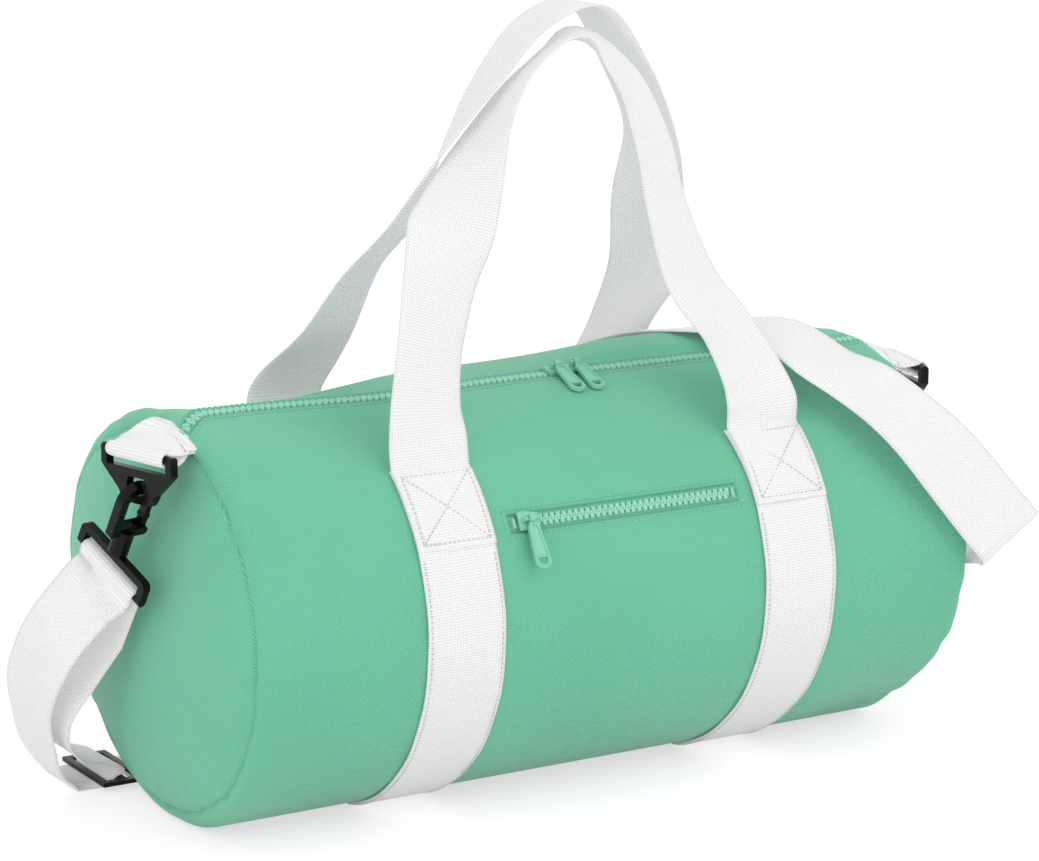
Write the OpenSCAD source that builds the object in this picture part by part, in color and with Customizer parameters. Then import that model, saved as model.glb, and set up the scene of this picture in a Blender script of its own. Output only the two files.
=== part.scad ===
// Barrel bag: a stuffed fabric barrel lying on its side, with a zipped mouth
// along the top, a zipped front pocket, two webbing grab handles and a
// detachable shoulder strap on swivel hooks. Millimetres, +Z up, length
// along X, front towards -Y, origin at the middle of the base rest face.

/* [Barrel] */
// Length of the barrel from end seam to end seam
bag_length = 480; // [420:10:560]
// Depth of the barrel from front to back
bag_depth = 260; // [240:5:290]
// Height of the barrel above the surface that it lies on
bag_height = 242; // [225:1:265]
// Thickness of the side and end fabric
fabric_thick = 1.6; // [1:0.2:2.4]
// How far the end panels bulge outwards
end_bulge = 13; // [8:1:18]
// Drop of the barrel's edge where it rounds into the end seam
end_round = 10; // [6:1:14]
// How far the load flattens the underside
base_sink = 4.5; // [3:0.5:7]
// Width of the binding over the seam allowance inside
binding_wide = 11; // [8:1:15]
// Thickness of that binding
binding_thick = 1.2; // [0.8:0.2:1.6]

/* [Webbing] */
// Width of the bands, handles and shoulder strap
web_wide = 50; // [40:1:56]
// Thickness of the webbing
web_thick = 2; // [1.4:0.1:2.4]
// Distance from the middle of the bag to the middle of each band
band_out = 114; // [104:1:126]
// Angle above the horizontal at which the band ends and the handle starts
fold_angle = 48; // [44:1:54]
// Angle of the lower end of the sewn-down handle end
sewn_angle = 24; // [20:1:30]
// Height of the handles' crown above their fold
handle_rise = 246; // [200:2:280]

/* [Main zip] */
// Angle of the main zip above the horizontal, measured from the front
zip_angle = 81; // [78:1:93]
// Distance from each end seam to the main zip's teeth
zip_inset = 22; // [22:1:50]
// Width of the slot in the side fabric over the main zip
slot_wide = 26; // [22:1:30]
// Width of each half of the zip tape
tape_wide = 15; // [13:0.5:17]
// Thickness of the zip tape
tape_thick = 0.8; // [0.6:0.1:1.2]
// Distance from tooth to tooth in one row
tooth_pitch = 4; // [3.6:0.1:5]
// Height of a tooth
tooth_high = 3.4; // [3:0.1:3.8]
// Reach of a tooth across the middle of the zip
tooth_reach = 1.4; // [1:0.1:1.7]

/* [Pocket zip] */
// Angle of the pocket zip above the horizontal
pocket_angle = 28.5; // [26:0.5:32]
// Length of the pocket zip's rows of teeth
pocket_zip_length = 146; // [120:2:152]
// Place of the pocket zip's middle along the bag
pocket_zip_mid = 1; // [-4:1:8]
// Width of the slot in the side fabric over the pocket zip
pocket_slot_wide = 17; // [15:1:20]
// How far the pocket reaches beyond its zip at each end
pocket_margin = 19; // [17:1:25]
// Depth that the pocket holds
pocket_deep = 13; // [10:1:18]

/* [Sliders] */
// Length of a slider's body
slider_long = 13; // [11:0.5:15]
// Width of a slider's body at its nose
slider_wide = 11; // [10:0.5:12.5]
// Length of a puller from its pin to its tip
puller_long = 30; // [24:1:34]
// Width of a puller
puller_wide = 10.5; // [9:0.5:12]
// Thickness of a puller's plate
puller_thick = 1.8; // [1.4:0.1:2.4]

/* [Rings and hooks] */
// Distance of the ring's bar beyond the end seam
ring_gap = 25; // [23:1:36]
// Width of the ring over its bar
ring_wide = 62; // [58:1:70]
// Thickness of the ring's plate
ring_thick = 5; // [4:0.5:6]
// Turn of the ring about the vertical
ring_turn = 13.5; // [0:0.5:16]
// Lean of the hanging hook from the vertical
hook_lean = 28; // [10:1:32]
// Thickness of the hook's J
hook_thick = 5; // [4:0.5:6]
// Clear width inside the hook
hook_gap = 13; // [12:0.5:15]
// Radius of the hook's swivel barrel
barrel_radius = 6; // [5:0.5:7]

/* [Hidden] */

mint = [0.42, 0.80, 0.66];
mint_pale = [0.52, 0.86, 0.74];
mint_deep = [0.34, 0.70, 0.57];
webbing = [0.95, 0.95, 0.95];
moulded = [0.09, 0.09, 0.10];

// clearances
seat = 0.3;
overrun = 8;
$fn = 40;

// the barrel's oval section
half_length = bag_length / 2;
half_depth = bag_depth / 2;
zip_length = bag_length - zip_inset * 2;
base_z = web_thick + seat;
section_rise = (bag_height - base_z + base_sink) / 2;
axis_z = bag_height - section_rise;
ring_points = 60;
round_steps = 4;

// end rounding: how far the oval has shrunk at a place x along the bag
function shrink(x) = let(u = max(0, (abs(x) - half_length + end_round) / end_round))
    end_round * (1 - sqrt(max(0, 1 - u * u)));
// height of the flattened underside: on the bands, and down to the rest face
// where the load presses the fabric between them onto the ground
sag_ease = 10;
sag_in = band_out - web_wide / 2 - sag_ease;
sag_out = band_out - web_wide / 2 - seat;
function rest_at(x) = base_z * min(1, max(0, (abs(x) - sag_in) / (sag_out - sag_in)));
// a point on the barrel at place x and angle a, lifted off the fabric
function skin_point(x, a, lift) = let(s = lift - shrink(x)) [x,
    -(half_depth + s) * cos(a),
    max(axis_z + (section_rise + s) * sin(a), rest_at(x) - lift)];
// millimetres on the oval that one degree covers at angle a
function per_degree(a) = norm([half_depth * sin(a), section_rise * cos(a)]) * PI / 180;
// turn about X that lays a flat piece on the barrel at angle a
function lay(a) = atan2(cos(a) / half_depth, sin(a) / section_rise);

function unit(v) = v / norm(v);
function spline_at(a, b, c, d, t) = (b * 2 + (c - a) * t + (a * 2 - b * 5 + c * 4 - d) * t * t
    + (b * 3 - a - c * 3 + d) * t * t * t) / 2;
function spline(p, per) = [for (i = [0 : len(p) - 2]) for (k = [0 : per - 1])
    spline_at(p[max(i - 1, 0)], p[i], p[i + 1], p[min(i + 2, len(p) - 1)], k / per),
    p[len(p) - 1]];

// closed solid through equal loops of points; the far side of a thin sheet is
// split along the same diagonals as its near side
module skin(loops, sheet = false) {
    n = len(loops[0]);
    m = len(loops);
    function far(j) = sheet && j >= n / 2 && j < n - 1;
    polyhedron(points = [for (l = loops) for (p = l) p],
        faces = concat(
            sheet ? [for (j = [0 : n / 2 - 2]) [n - 1 - j, n - 2 - j, j + 1, j]]
                : [[for (j = [n - 1 : -1 : 0]) j]],
            sheet ? [for (j = [0 : n / 2 - 2]) [for (k = [j, j + 1, n - 2 - j, n - 1 - j])
                    (m - 1) * n + k]]
                : [[for (j = [0 : n - 1]) (m - 1) * n + j]],
            [for (i = [0 : m - 2]) for (j = [0 : n - 1]) [i * n + j, i * n + (j + 1) % n,
                (i + 1) * n + (far(j) ? j : (j + 1) % n)]],
            [for (i = [0 : m - 2]) for (j = [0 : n - 1]) [i * n + (far(j) ? j + 1 : j),
                (i + 1) * n + (j + 1) % n, (i + 1) * n + j]]));
}

// stations along the bag between x0 and x1, closer where the ends round
round_stations = concat(
    [for (k = [0 : round_steps]) -half_length + end_round * k / round_steps],
    [-sag_out, -sag_in, sag_in, sag_out],
    [for (k = [round_steps : -1 : 0]) half_length - end_round * k / round_steps]);
function stations(x0, x1) = concat([x0],
    [for (x = round_stations) if (x > x0 + seat / 4 && x < x1 - seat / 4) x], [x1]);

// the solid barrel, lifted off the fabric's outer face
module barrel(lift, x0, x1)
    skin([for (x = stations(x0, x1)) [for (j = [0 : ring_points - 1])
        skin_point(x, j * 360 / ring_points, lift)]]);

// a strip of the barrel's skin from angle a0 to a1 and lift lo to hi
module strip(x0, x1, a0, a1, lo, hi, steps)
    skin([for (i = [0 : steps]) let(a = max(a0, a1) - abs(a1 - a0) * i / steps)
        [skin_point(x0, a, lo), skin_point(x0, a, hi), skin_point(x1, a, hi),
            skin_point(x1, a, lo)]]);

// webbing swept along rows of [x, y, z, wx, wy, wz]
module ribbon(rows, wide, thick)
    skin([for (i = [0 : len(rows) - 1])
        let(p = [rows[i][0], rows[i][1], rows[i][2]],
            b = rows[max(i - 1, 0)], f = rows[min(i + 1, len(rows) - 1)],
            t = unit([f[0] - b[0], f[1] - b[1], f[2] - b[2]]),
            g = [rows[i][3], rows[i][4], rows[i][5]],
            w = unit(g - t * (g * t)), n = cross(t, w))
        [p - w * wide / 2 + n * thick / 2, p + w * wide / 2 + n * thick / 2,
            p + w * wide / 2 - n * thick / 2, p - w * wide / 2 - n * thick / 2]], true);

// ---- barrel ----
slot_half_angle = slot_wide / 2 / per_degree(zip_angle);
pocket_slot_half_angle = pocket_slot_wide / 2 / per_degree(pocket_angle);
slot_ease = 4.5;
tape_run = 8;
slot_end = zip_length / 2 + slot_ease;
pocket_slot_half = pocket_zip_length / 2 + slot_ease;

module body_panel() color(mint) difference() {
    barrel(0, -half_length, half_length);
    barrel(-fabric_thick, -half_length - seat, half_length + seat);
    strip(-slot_end, slot_end, zip_angle - slot_half_angle, zip_angle + slot_half_angle,
        -overrun, overrun, 4);
    strip(pocket_zip_mid - pocket_slot_half, pocket_zip_mid + pocket_slot_half,
        pocket_angle - pocket_slot_half_angle, pocket_angle + pocket_slot_half_angle,
        -overrun, overrun, 4);
}

// stuffed end panel: a shallow dome whose rim is the end seam
dome_shares = [1, 0.94, 0.82, 0.64, 0.42, 0.18];
function dome_loop(share, lift) = [for (j = [0 : ring_points - 1])
    let(rim = skin_point(half_length, j * 360 / ring_points, 0))
    [half_length + end_bulge * (1 - share * share) * (1 + (1 - share) * dome_fullness_share)
        - lift, rim[1] * share, axis_z + (rim[2] - axis_z) * share]];
dome_fullness_share = 0.35;
rim_share = 1 - fabric_thick / half_depth;

module end_panel() difference() {
    skin([for (s = dome_shares) dome_loop(s, 0)]);
    skin([for (s = dome_shares) dome_loop(s * rim_share, fabric_thick)]);
}
module end_panel_right() color(mint) end_panel();
module end_panel_left() color(mint) mirror([1, 0, 0]) end_panel();

binding_end = half_length - end_round / round_steps;
module seam_binding() difference() {
    barrel(-fabric_thick - seat, binding_end - binding_wide, binding_end);
    barrel(-fabric_thick - seat - binding_thick, binding_end - overrun - binding_wide,
        half_length);
}
module seam_binding_right() color(mint_deep) seam_binding();
module seam_binding_left() color(mint_deep) mirror([1, 0, 0]) seam_binding();

// pocket bag behind the pocket zip, sewn to the side fabric all round
pocket_wide = pocket_zip_length + pocket_margin * 2;
pocket_top_angle = pocket_angle + pocket_slot_half_angle * 3;
pocket_foot_angle = -42;
lining_cols = 8;
lining_rows = 12;
function swell(t) = min(1, sin(180 * t) * 2.2);
function lining_lift(i, j) = -fabric_thick - seat
    - pocket_deep * swell(i / lining_rows) * swell(j / lining_cols);
module pocket_lining() color(mint_deep)
    skin([for (i = [0 : lining_rows])
        let(a = pocket_top_angle - (pocket_top_angle - pocket_foot_angle) * i / lining_rows)
        concat([for (j = [lining_cols : -1 : 0])
                skin_point(pocket_wide * (0.5 - j / lining_cols), a, lining_lift(i, j))],
            [for (j = [0 : lining_cols])
                skin_point(pocket_wide * (0.5 - j / lining_cols), a,
                    lining_lift(i, j) - tape_thick)])], true);

// ---- zips ----
// one row of moulded teeth as a comb: each tooth has a neck and a wider head
neck_share = 0.17;
head_share = 0.235;
tooth_root = 2.6;
cord_wide = 1.8;
function tooth_outline(x, pitch) = [
    [x - pitch * neck_share, -tooth_root], [x - pitch * neck_share, 0],
    [x - pitch * head_share, tooth_reach * 0.35], [x - pitch * head_share, tooth_reach * 0.8],
    [x - pitch * neck_share, tooth_reach], [x + pitch * neck_share, tooth_reach],
    [x + pitch * head_share, tooth_reach * 0.8], [x + pitch * head_share, tooth_reach * 0.35],
    [x + pitch * neck_share, 0], [x + pitch * neck_share, -tooth_root]];
module comb(span, shift, side) {
    count = floor(span / tooth_pitch);
    first = -count * tooth_pitch / 2 + tooth_pitch * (0.25 + shift);
    pts = concat([[-span / 2, -tooth_root]],
        [for (k = [0 : count - 1]) each tooth_outline(first + k * tooth_pitch, tooth_pitch)],
        [[span / 2, -tooth_root], [span / 2, -tooth_root - cord_wide],
            [-span / 2, -tooth_root - cord_wide]]);
    mirror([0, side > 0 ? 1 : 0, 0])
        translate([0, 0, zip_low + tape_thick])
        linear_extrude(tooth_high) polygon(pts);
}
// top of the tape lies under the fabric, in the zip's own frame
row_gap = seat / 2;
tape_sag = pow(tape_wide + row_gap, 2) * section_rise / pow(half_depth, 2) / 2;
zip_low = -fabric_thick - seat - tape_sag - tape_thick;
module zip_half(span, shift, side, wide) {
    comb(span, shift, side);
    translate([-span / 2 - tape_run, side > 0 ? row_gap : -row_gap - wide, zip_low])
        cube([span + tape_run * 2, wide, tape_thick]);
}
module zip_frame(x, a) translate([x, 0, 0])
    translate(skin_point(0, a, 0)) rotate([lay(a), 0, 0]) children();

module main_zip_front() color(mint_pale)
    zip_frame(0, zip_angle) zip_half(zip_length, 0, -1, tape_wide);
module main_zip_rear() color(mint_pale)
    zip_frame(0, zip_angle) zip_half(zip_length, 0.5, 1, tape_wide);
module pocket_zip_lower() color(mint_pale)
    zip_frame(pocket_zip_mid, pocket_angle)
        zip_half(pocket_zip_length, 0, -1, pocket_slot_wide / 2 + fabric_thick);
module pocket_zip_upper() color(mint_pale)
    zip_frame(pocket_zip_mid, pocket_angle)
        zip_half(pocket_zip_length, 0.5, 1, pocket_slot_wide / 2 + fabric_thick);

// moulded end stops across both rows
stop_long = 2.4;
stop_wide = tooth_root * 2 + cord_wide;
module stops(span) for (side = [-1, 1])
    translate([side * (span / 2 + seat + stop_long / 2), 0, zip_low + tape_thick + seat / 2])
        translate([-stop_long / 2, -stop_wide / 2, 0])
            cube([stop_long, stop_wide, tooth_high + tape_thick / 2]);
module main_zip_stops() color(mint_deep) zip_frame(0, zip_angle) stops(zip_length);
module pocket_zip_stops() color(mint_deep)
    zip_frame(pocket_zip_mid, pocket_angle) stops(pocket_zip_length);

// slider: a tapered plate over the teeth, lips beside them, and a bridge
tooth_top = zip_low + tape_thick + tooth_high;
plate_low = tooth_top + seat;
plate_thick = 1.7;
lip_thick = 1.3;
lip_drop = tooth_high - seat * 2;
tail_share = 0.74;
bridge_radius = 1.1;
bridge_rise = 2.9;
bridge_span = 6.2;
pin_z = plate_low + plate_thick + bridge_rise;
module slider_outline(grow) polygon([
    [-slider_long / 2, -slider_wide * tail_share / 2 + grow],
    [slider_long * 0.1, -slider_wide / 2 + grow], [slider_long / 2, -slider_wide / 2 + grow],
    [slider_long / 2, slider_wide / 2 - grow], [slider_long * 0.1, slider_wide / 2 - grow],
    [-slider_long / 2, slider_wide * tail_share / 2 - grow]]);
module slider() {
    translate([0, 0, plate_low]) linear_extrude(plate_thick) slider_outline(0);
    lip_y = tooth_root + cord_wide + seat;
    for (side = [-1, 1]) translate([slider_long * 0.1, 0, plate_low - lip_drop])
        translate([0, side > 0 ? lip_y - seat / 2 : -lip_y + seat / 2 - lip_thick / 2, 0])
            cube([slider_long * 0.4, lip_thick / 2, lip_drop + plate_thick / 2]);
    for (side = [-1, 1])
        translate([side * bridge_span / 2 - bridge_radius, -bridge_radius,
            plate_low + plate_thick / 2])
            cube([bridge_radius * 2, bridge_radius * 2, plate_thick / 2 + bridge_rise]);
    translate([-bridge_span / 2 - bridge_radius, 0, pin_z]) rotate([0, 90, 0])
        cylinder(h = bridge_span + bridge_radius * 2, r = bridge_radius);
}
// puller lying towards the front: eye round the bridge, neck, plate, D hole
eye_wall = 0.9;
eye_radius = bridge_radius + seat + eye_wall;
eye_long = bridge_span - bridge_radius * 2 - seat * 2;
puller_neck = 5;
d_hole_radius = puller_wide * 0.27;
rim_high = 0.6;
rim_wide = 1.2;
module puller_outline() {
    translate([0, puller_wide / 2]) circle(r = puller_wide / 2);
    translate([-puller_wide / 2, puller_wide / 2])
        square([puller_wide, puller_long - puller_neck - puller_wide]);
    polygon([[-puller_wide / 2, puller_long - puller_neck - puller_wide / 2],
        [puller_wide / 2, puller_long - puller_neck - puller_wide / 2],
        [eye_long / 2, puller_long - puller_neck + puller_thick / 2],
        [eye_long / 2, puller_long - eye_radius + eye_wall],
        [-eye_long / 2, puller_long - eye_radius + eye_wall],
        [-eye_long / 2, puller_long - puller_neck + puller_thick / 2]]);
}
module d_hole() intersection() {
    translate([0, puller_wide / 2]) circle(r = d_hole_radius * 1.25);
    translate([-d_hole_radius * 1.25, puller_wide / 2 - d_hole_radius * 1.25])
        square([d_hole_radius * 2.5, d_hole_radius * 2]);
}
module puller(dip) rotate([dip, 0, 0]) {
    difference() {
        rotate([0, 90, 0]) cylinder(h = eye_long, r = eye_radius, center = true);
        rotate([0, 90, 0])
            cylinder(h = eye_long + overrun, r = bridge_radius + seat, center = true);
    }
    translate([0, -puller_long, -puller_thick / 2]) difference() {
        union() {
            linear_extrude(puller_thick) puller_outline();
            // raised rim round the finger plate
            translate([0, 0, puller_thick]) linear_extrude(rim_high) difference() {
                translate([0, puller_wide / 2]) {
                    circle(r = puller_wide / 2);
                    translate([-puller_wide / 2, 0])
                        square([puller_wide, puller_long - puller_neck - puller_wide]);
                }
                translate([0, puller_wide / 2]) {
                    circle(r = puller_wide / 2 - rim_wide);
                    translate([-puller_wide / 2 + rim_wide, 0]) square([
                        puller_wide - rim_wide * 2,
                        puller_long - puller_neck - puller_wide - rim_wide]);
                }
            }
        }
        translate([0, 0, -overrun / 2]) linear_extrude(overrun) d_hole();
    }
}
// places of the sliders along the bag with both zips closed
main_slider_mid = 18;
main_slider_left_x = main_slider_mid - slider_long / 2;
main_slider_right_x = main_slider_mid + slider_long / 2 + seat * 2;
pocket_slider_x = pocket_zip_mid - pocket_zip_length / 2 + slider_long / 2 + seat;
main_dip = 14;
pocket_dip = 0;

module main_slider_left() color(mint_deep)
    zip_frame(main_slider_left_x, zip_angle) mirror([1, 0, 0]) slider();
module main_slider_right() color(mint_deep)
    zip_frame(main_slider_right_x, zip_angle) slider();
module main_puller_left() color(mint_deep)
    zip_frame(main_slider_left_x, zip_angle) translate([0, 0, pin_z]) puller(main_dip);
module main_puller_right() color(mint_deep)
    zip_frame(main_slider_right_x, zip_angle) translate([0, 0, pin_z]) puller(main_dip);
module pocket_slider() color(mint_deep)
    zip_frame(pocket_slider_x, pocket_angle) mirror([1, 0, 0]) slider();
module pocket_puller() color(mint_deep)
    zip_frame(pocket_slider_x, pocket_angle) translate([0, 0, pin_z]) puller(pocket_dip);

// ---- bands and handles ----
rear_fold_angle = 180 - fold_angle;
band_steps = 44;
// band round the barrel, and the handle ends that are sewn down on it
module band(x) {
    strip(x - web_wide / 2, x + web_wide / 2, fold_angle, rear_fold_angle - 360,
        seat, seat + web_thick, band_steps);
    strip(x - web_wide / 2, x + web_wide / 2, fold_angle - 1, sewn_angle,
        seat + web_thick, seat + web_thick * 2, 6);
    strip(x - web_wide / 2, x + web_wide / 2, 180 - sewn_angle, rear_fold_angle + 1,
        seat + web_thick, seat + web_thick * 2, 6);
}
module band_left() color(webbing) band(-band_out);
module band_right() color(webbing) band(band_out);

// the handles fold about lines just above the sewn ends
fold_lift = seat + web_thick * 3;
fold_point = skin_point(0, fold_angle, fold_lift);
fold_y = -fold_point[1];
fold_z = fold_point[2];
// rows: x by band_out, y by fold_y, z by handle_rise, then turn of the width
front_handle_shares = [
    [-1, -1, 0, 0], [-1, -0.965, 0.04, 0], [-0.992, -0.925, 0.128, 0.12], [-0.925, -0.85, 0.276, 0.16],
    [-0.794, -0.723, 0.445, 0.01], [-0.627, -0.577, 0.566, -0.608], [-0.429, -0.457, 0.705, -1.021],
    [-0.189, -0.407, 0.836, -1.266], [0.125, -0.413, 0.915, -1.419], [0.399, -0.454, 0.818, -1.536],
    [0.544, -0.507, 0.665, -1.622], [0.611, -0.568, 0.497, -1.673], [0.718, -0.645, 0.333, -1.765],
    [0.885, -0.745, 0.215, -1.8], [0.975, -0.875, 0.11, -1.9], [1, -0.965, 0.04, -2], [1, -1, 0, -2]];
rear_handle_shares = [
    [-1, 1, 0, 0], [-1, 0.955, 0.04, 0], [-0.945, 0.8, 0.12, 0.05], [-0.92, 0.494, 0.225, 0.259],
    [-0.857, 0.219, 0.364, 0.381], [-0.694, -0.016, 0.493, 0.434], [-0.518, -0.112, 0.656, 0.651],
    [-0.288, -0.147, 0.807, 0.845], [0.008, -0.11, 0.94, 0.908], [0.364, -0.059, 0.979, 0.981],
    [0.634, -0.006, 0.828, 1.05], [0.834, 0.064, 0.648, 1.063], [0.912, 0.231, 0.475, 1.327],
    [1.023, 0.442, 0.309, 1.702], [1.025, 0.76, 0.15, 1.98], [1, 0.955, 0.04, 2], [1, 1, 0, 2]];
function handle_rows(shares) = [for (s = shares) [s[0] * band_out, s[1] * fold_y,
    fold_z + s[2] * handle_rise, cos(s[3] * 90), sin(s[3] * 90), 0]];
module handle_front() color(webbing)
    ribbon(spline(handle_rows(front_handle_shares), 4), web_wide, web_thick);
module handle_rear() color(webbing)
    ribbon(spline(handle_rows(rear_handle_shares), 4), web_wide, web_thick);

// ---- end rings, snap hooks and swivel bases, modelled for the left end ----
ring_out = half_length + ring_gap;
ring_forward = 30;
ring_drop = 18;
ring_y = -ring_forward;
ring_z = bag_height - ring_drop;
bar_radius = ring_thick / 2;
ring_slot_wide = web_wide + 2;
ring_slot_high = 6;
eye_drop = 19;
hook_wide = 6;
eye_wide = 17;
eye_high = 10;
ring_low = 28;
ring_corner = 5;
tab_thick = web_thick * 0.75;
module ring_frame() translate([-ring_out, ring_y, ring_z]) rotate([0, 0, ring_turn])
    children();
module hook_frame() ring_frame() translate([0, 0, -eye_drop]) rotate([hook_lean, 0, 0])
    children();
// outline in the plane of the ring: first axis across, second upwards
module ring_outline() {
    wing = ring_wide / 2;
    foot = eye_wide / 2 + ring_corner;
    polygon([[-wing, 0], [-wing, -ring_slot_high - ring_corner / 2],
        [-wing + ring_corner / 2, -ring_slot_high - ring_corner],
        [-foot - ring_corner / 2, -eye_drop - ring_corner / 2],
        [-foot, -ring_low + ring_corner / 2], [-foot + ring_corner / 2, -ring_low],
        [foot - ring_corner / 2, -ring_low], [foot, -ring_low + ring_corner / 2],
        [foot + ring_corner / 2, -eye_drop - ring_corner / 2],
        [wing - ring_corner / 2, -ring_slot_high - ring_corner],
        [wing, -ring_slot_high - ring_corner / 2], [wing, 0]]);
}
module ring_eye() {
    translate([0, -eye_drop + eye_high / 2 - eye_sink]) intersection() {
        circle(r = eye_wide / 2);
        translate([-eye_wide / 2, -eye_high / 2]) square([eye_wide, eye_high]);
    }
}
// the hook's arch turns in the eye without touching its edge
eye_sink = norm([hook_thick, hook_wide]) / 2 + seat;
module ring() {
    rotate([90, 0, 90]) translate([0, 0, -ring_thick / 2]) difference() {
        linear_extrude(ring_thick) ring_outline();
        translate([-ring_slot_wide / 2, -bar_radius - ring_slot_high, -overrun])
            cube([ring_slot_wide, ring_slot_high + bar_radius + overrun,
                ring_thick + overrun * 2]);
        translate([0, 0, -overrun]) linear_extrude(ring_thick + overrun * 2) ring_eye();
    }
    rotate([90, 0, 0]) cylinder(h = ring_wide, r = bar_radius, center = true);
}
module ring_left() color(moulded) ring_frame() ring();
module ring_right() color(moulded) mirror([1, 0, 0]) ring_frame() ring();

// webbing tab: out from the seam, round the bar and back under itself
tab_wrap = bar_radius + seat * 2 + tab_thick / 2;
tab_reach = (ring_out - half_length - seat * 3) / cos(ring_turn);
tab_root_z = axis_z + section_rise - end_round - ring_z + tab_thick / 2 + seat;
tab_rows = concat(
    [[tab_reach, 0, tab_root_z, sin(ring_turn), cos(ring_turn), 0],
        [tab_reach * 0.75, tab_reach * 0.25 * tan(ring_turn), tab_root_z * 0.95,
            sin(ring_turn), cos(ring_turn), 0],
        [tab_reach * 0.5, tab_reach * 0.1 * tan(ring_turn), tab_root_z * 0.8, 0, 1, 0],
        [tab_reach * 0.3, 0, tab_root_z * 0.6, 0, 1, 0]],
    [for (t = [60 : 30 : 300]) [tab_wrap * cos(t), 0, tab_wrap * sin(t), 0, 1, 0]],
    [[tab_reach * 0.4, 0, seat, 0, 1, 0],
        [tab_reach * 0.7, 0, tab_root_z - tab_thick * 2 - seat, 0, 1, 0]]);
module tab() ring_frame() ribbon(tab_rows, web_wide, tab_thick);
module tab_left() color(webbing) tab();
module tab_right() color(webbing) mirror([1, 0, 0]) tab();

// snap hook: J spine on the outer side, gate on the side of the bag
spine_out = hook_gap / 2 + hook_thick;
arc_mid = hook_gap / 2 + hook_thick / 2;
hook_foot = 27;
hook_block = 5;
barrel_low = 46;
hook_tip_low = 3;
gate_thick = 3.6;
gate_pin_radius = 1.3;
gate_pin_z = -hook_foot - hook_block / 2;
gate_pin_x = spine_out - gate_thick / 2;
pin_radius = 2.4;
module hook() {
    difference() {
        union() {
            rotate([90, 0, 0]) translate([0, 0, -hook_wide / 2]) linear_extrude(hook_wide) {
                // arch through the ring's eye
                translate([0, -arch_drop]) intersection() {
                    difference() {
                        circle(r = spine_out);
                        circle(r = hook_gap / 2);
                    }
                    translate([-spine_out, 0]) square([spine_out * 2, spine_out]);
                }
                // spine and the short nose that the gate closes on
                translate([-spine_out, -hook_foot - hook_block])
                    square([hook_thick, hook_foot + hook_block - arch_drop]);
                translate([hook_gap / 2, -hook_tip_low - arch_drop])
                    square([hook_thick, hook_tip_low]);
                // foot that joins the spine to the swivel barrel
                translate([-spine_out, -hook_foot - hook_block])
                    square([spine_out + hook_gap / 2 - gate_thick / 2, hook_block]);
            }
            translate([0, 0, -barrel_low])
                cylinder(h = barrel_low - hook_foot - hook_block / 2, r = barrel_radius);
            // ears of the gate's pin
            for (side = [-1, 1]) translate([0, side * (hook_wide / 2 + ear_thick / 2), 0]) {
                translate([gate_pin_x, 0, gate_pin_z]) rotate([90, 0, 0])
                    cylinder(h = ear_thick, r = ear_radius, center = true);
                translate([0, -ear_thick / 2, gate_pin_z - ear_radius])
                    cube([gate_pin_x, ear_thick, ear_radius * 2]);
            }
        }
        translate([0, 0, -barrel_low - overrun])
            cylinder(h = overrun + swivel_bore, r = pin_radius + seat);
        translate([gate_pin_x, 0, gate_pin_z]) rotate([90, 0, 0])
            cylinder(h = hook_wide + ear_thick * 2 + overrun, r = gate_pin_radius + seat / 2,
                center = true);
    }
}
arch_drop = spine_out - hook_thick / 2;
ear_thick = 1.5;
ear_radius = 2.7;
swivel_bore = 9;
module hook_left() color(moulded) hook_frame() hook();
module hook_right() color(moulded) mirror([1, 0, 0]) hook_frame() hook();

// sprung gate: pin through the ears, finger up to the nose, thumb pad
gate_top = -hook_tip_low - arch_drop - seat;
module gate() {
    translate([gate_pin_x, 0, gate_pin_z]) rotate([90, 0, 0])
        cylinder(h = hook_wide + ear_thick * 2, r = gate_pin_radius, center = true);
    rotate([90, 0, 0]) translate([0, 0, -hook_wide / 2 + seat])
        linear_extrude(hook_wide - seat * 2) {
        translate([gate_pin_x, gate_pin_z]) circle(r = gate_thick / 2);
        translate([gate_pin_x - gate_thick / 2, gate_pin_z])
            square([gate_thick, gate_top - gate_pin_z]);
        translate([gate_pin_x, (gate_top + gate_pin_z) / 2])
            circle(r = gate_thick * 0.75);
    }
}
module gate_left() color(moulded) hook_frame() gate();
module gate_right() color(moulded) mirror([1, 0, 0]) hook_frame() gate();

// swivel base: pin in the hook's barrel and a loop that holds the strap
base_top = barrel_low + seat;
base_bar = 4.6;
base_slot_high = 6.5;
base_thick = 5;
lower_bar_mid = base_top + base_bar + base_slot_high + base_bar / 2;
module swivel_base() {
    translate([0, 0, -base_top - base_bar / 2])
        cylinder(h = base_bar / 2 + seat + swivel_bore - seat * 2, r = pin_radius);
    rotate([90, 0, 90]) translate([0, 0, -base_thick / 2]) difference() {
        linear_extrude(base_thick) translate([0, -base_top - base_bar]) {
            translate([-ring_wide / 2 + base_bar, 0])
                square([ring_wide - base_bar * 2, base_bar]);
            for (side = [-1, 1]) translate([side * (ring_wide / 2 - base_bar), 0])
                circle(r = base_bar);
            translate([-ring_wide / 2, -base_slot_high - base_bar / 2])
                square([ring_wide, base_slot_high + base_bar / 2]);
        }
        translate([-ring_slot_wide / 2, -lower_bar_mid - overrun, -overrun])
            cube([ring_slot_wide, lower_bar_mid + overrun - base_top - base_bar,
                base_thick + overrun * 2]);
    }
    translate([0, 0, -lower_bar_mid]) rotate([90, 0, 0])
        cylinder(h = ring_wide, r = base_bar / 2, center = true);
}
module swivel_base_left() color(moulded) hook_frame() swivel_base();
module swivel_base_right() color(moulded) mirror([1, 0, 0]) hook_frame() swivel_base();

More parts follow.
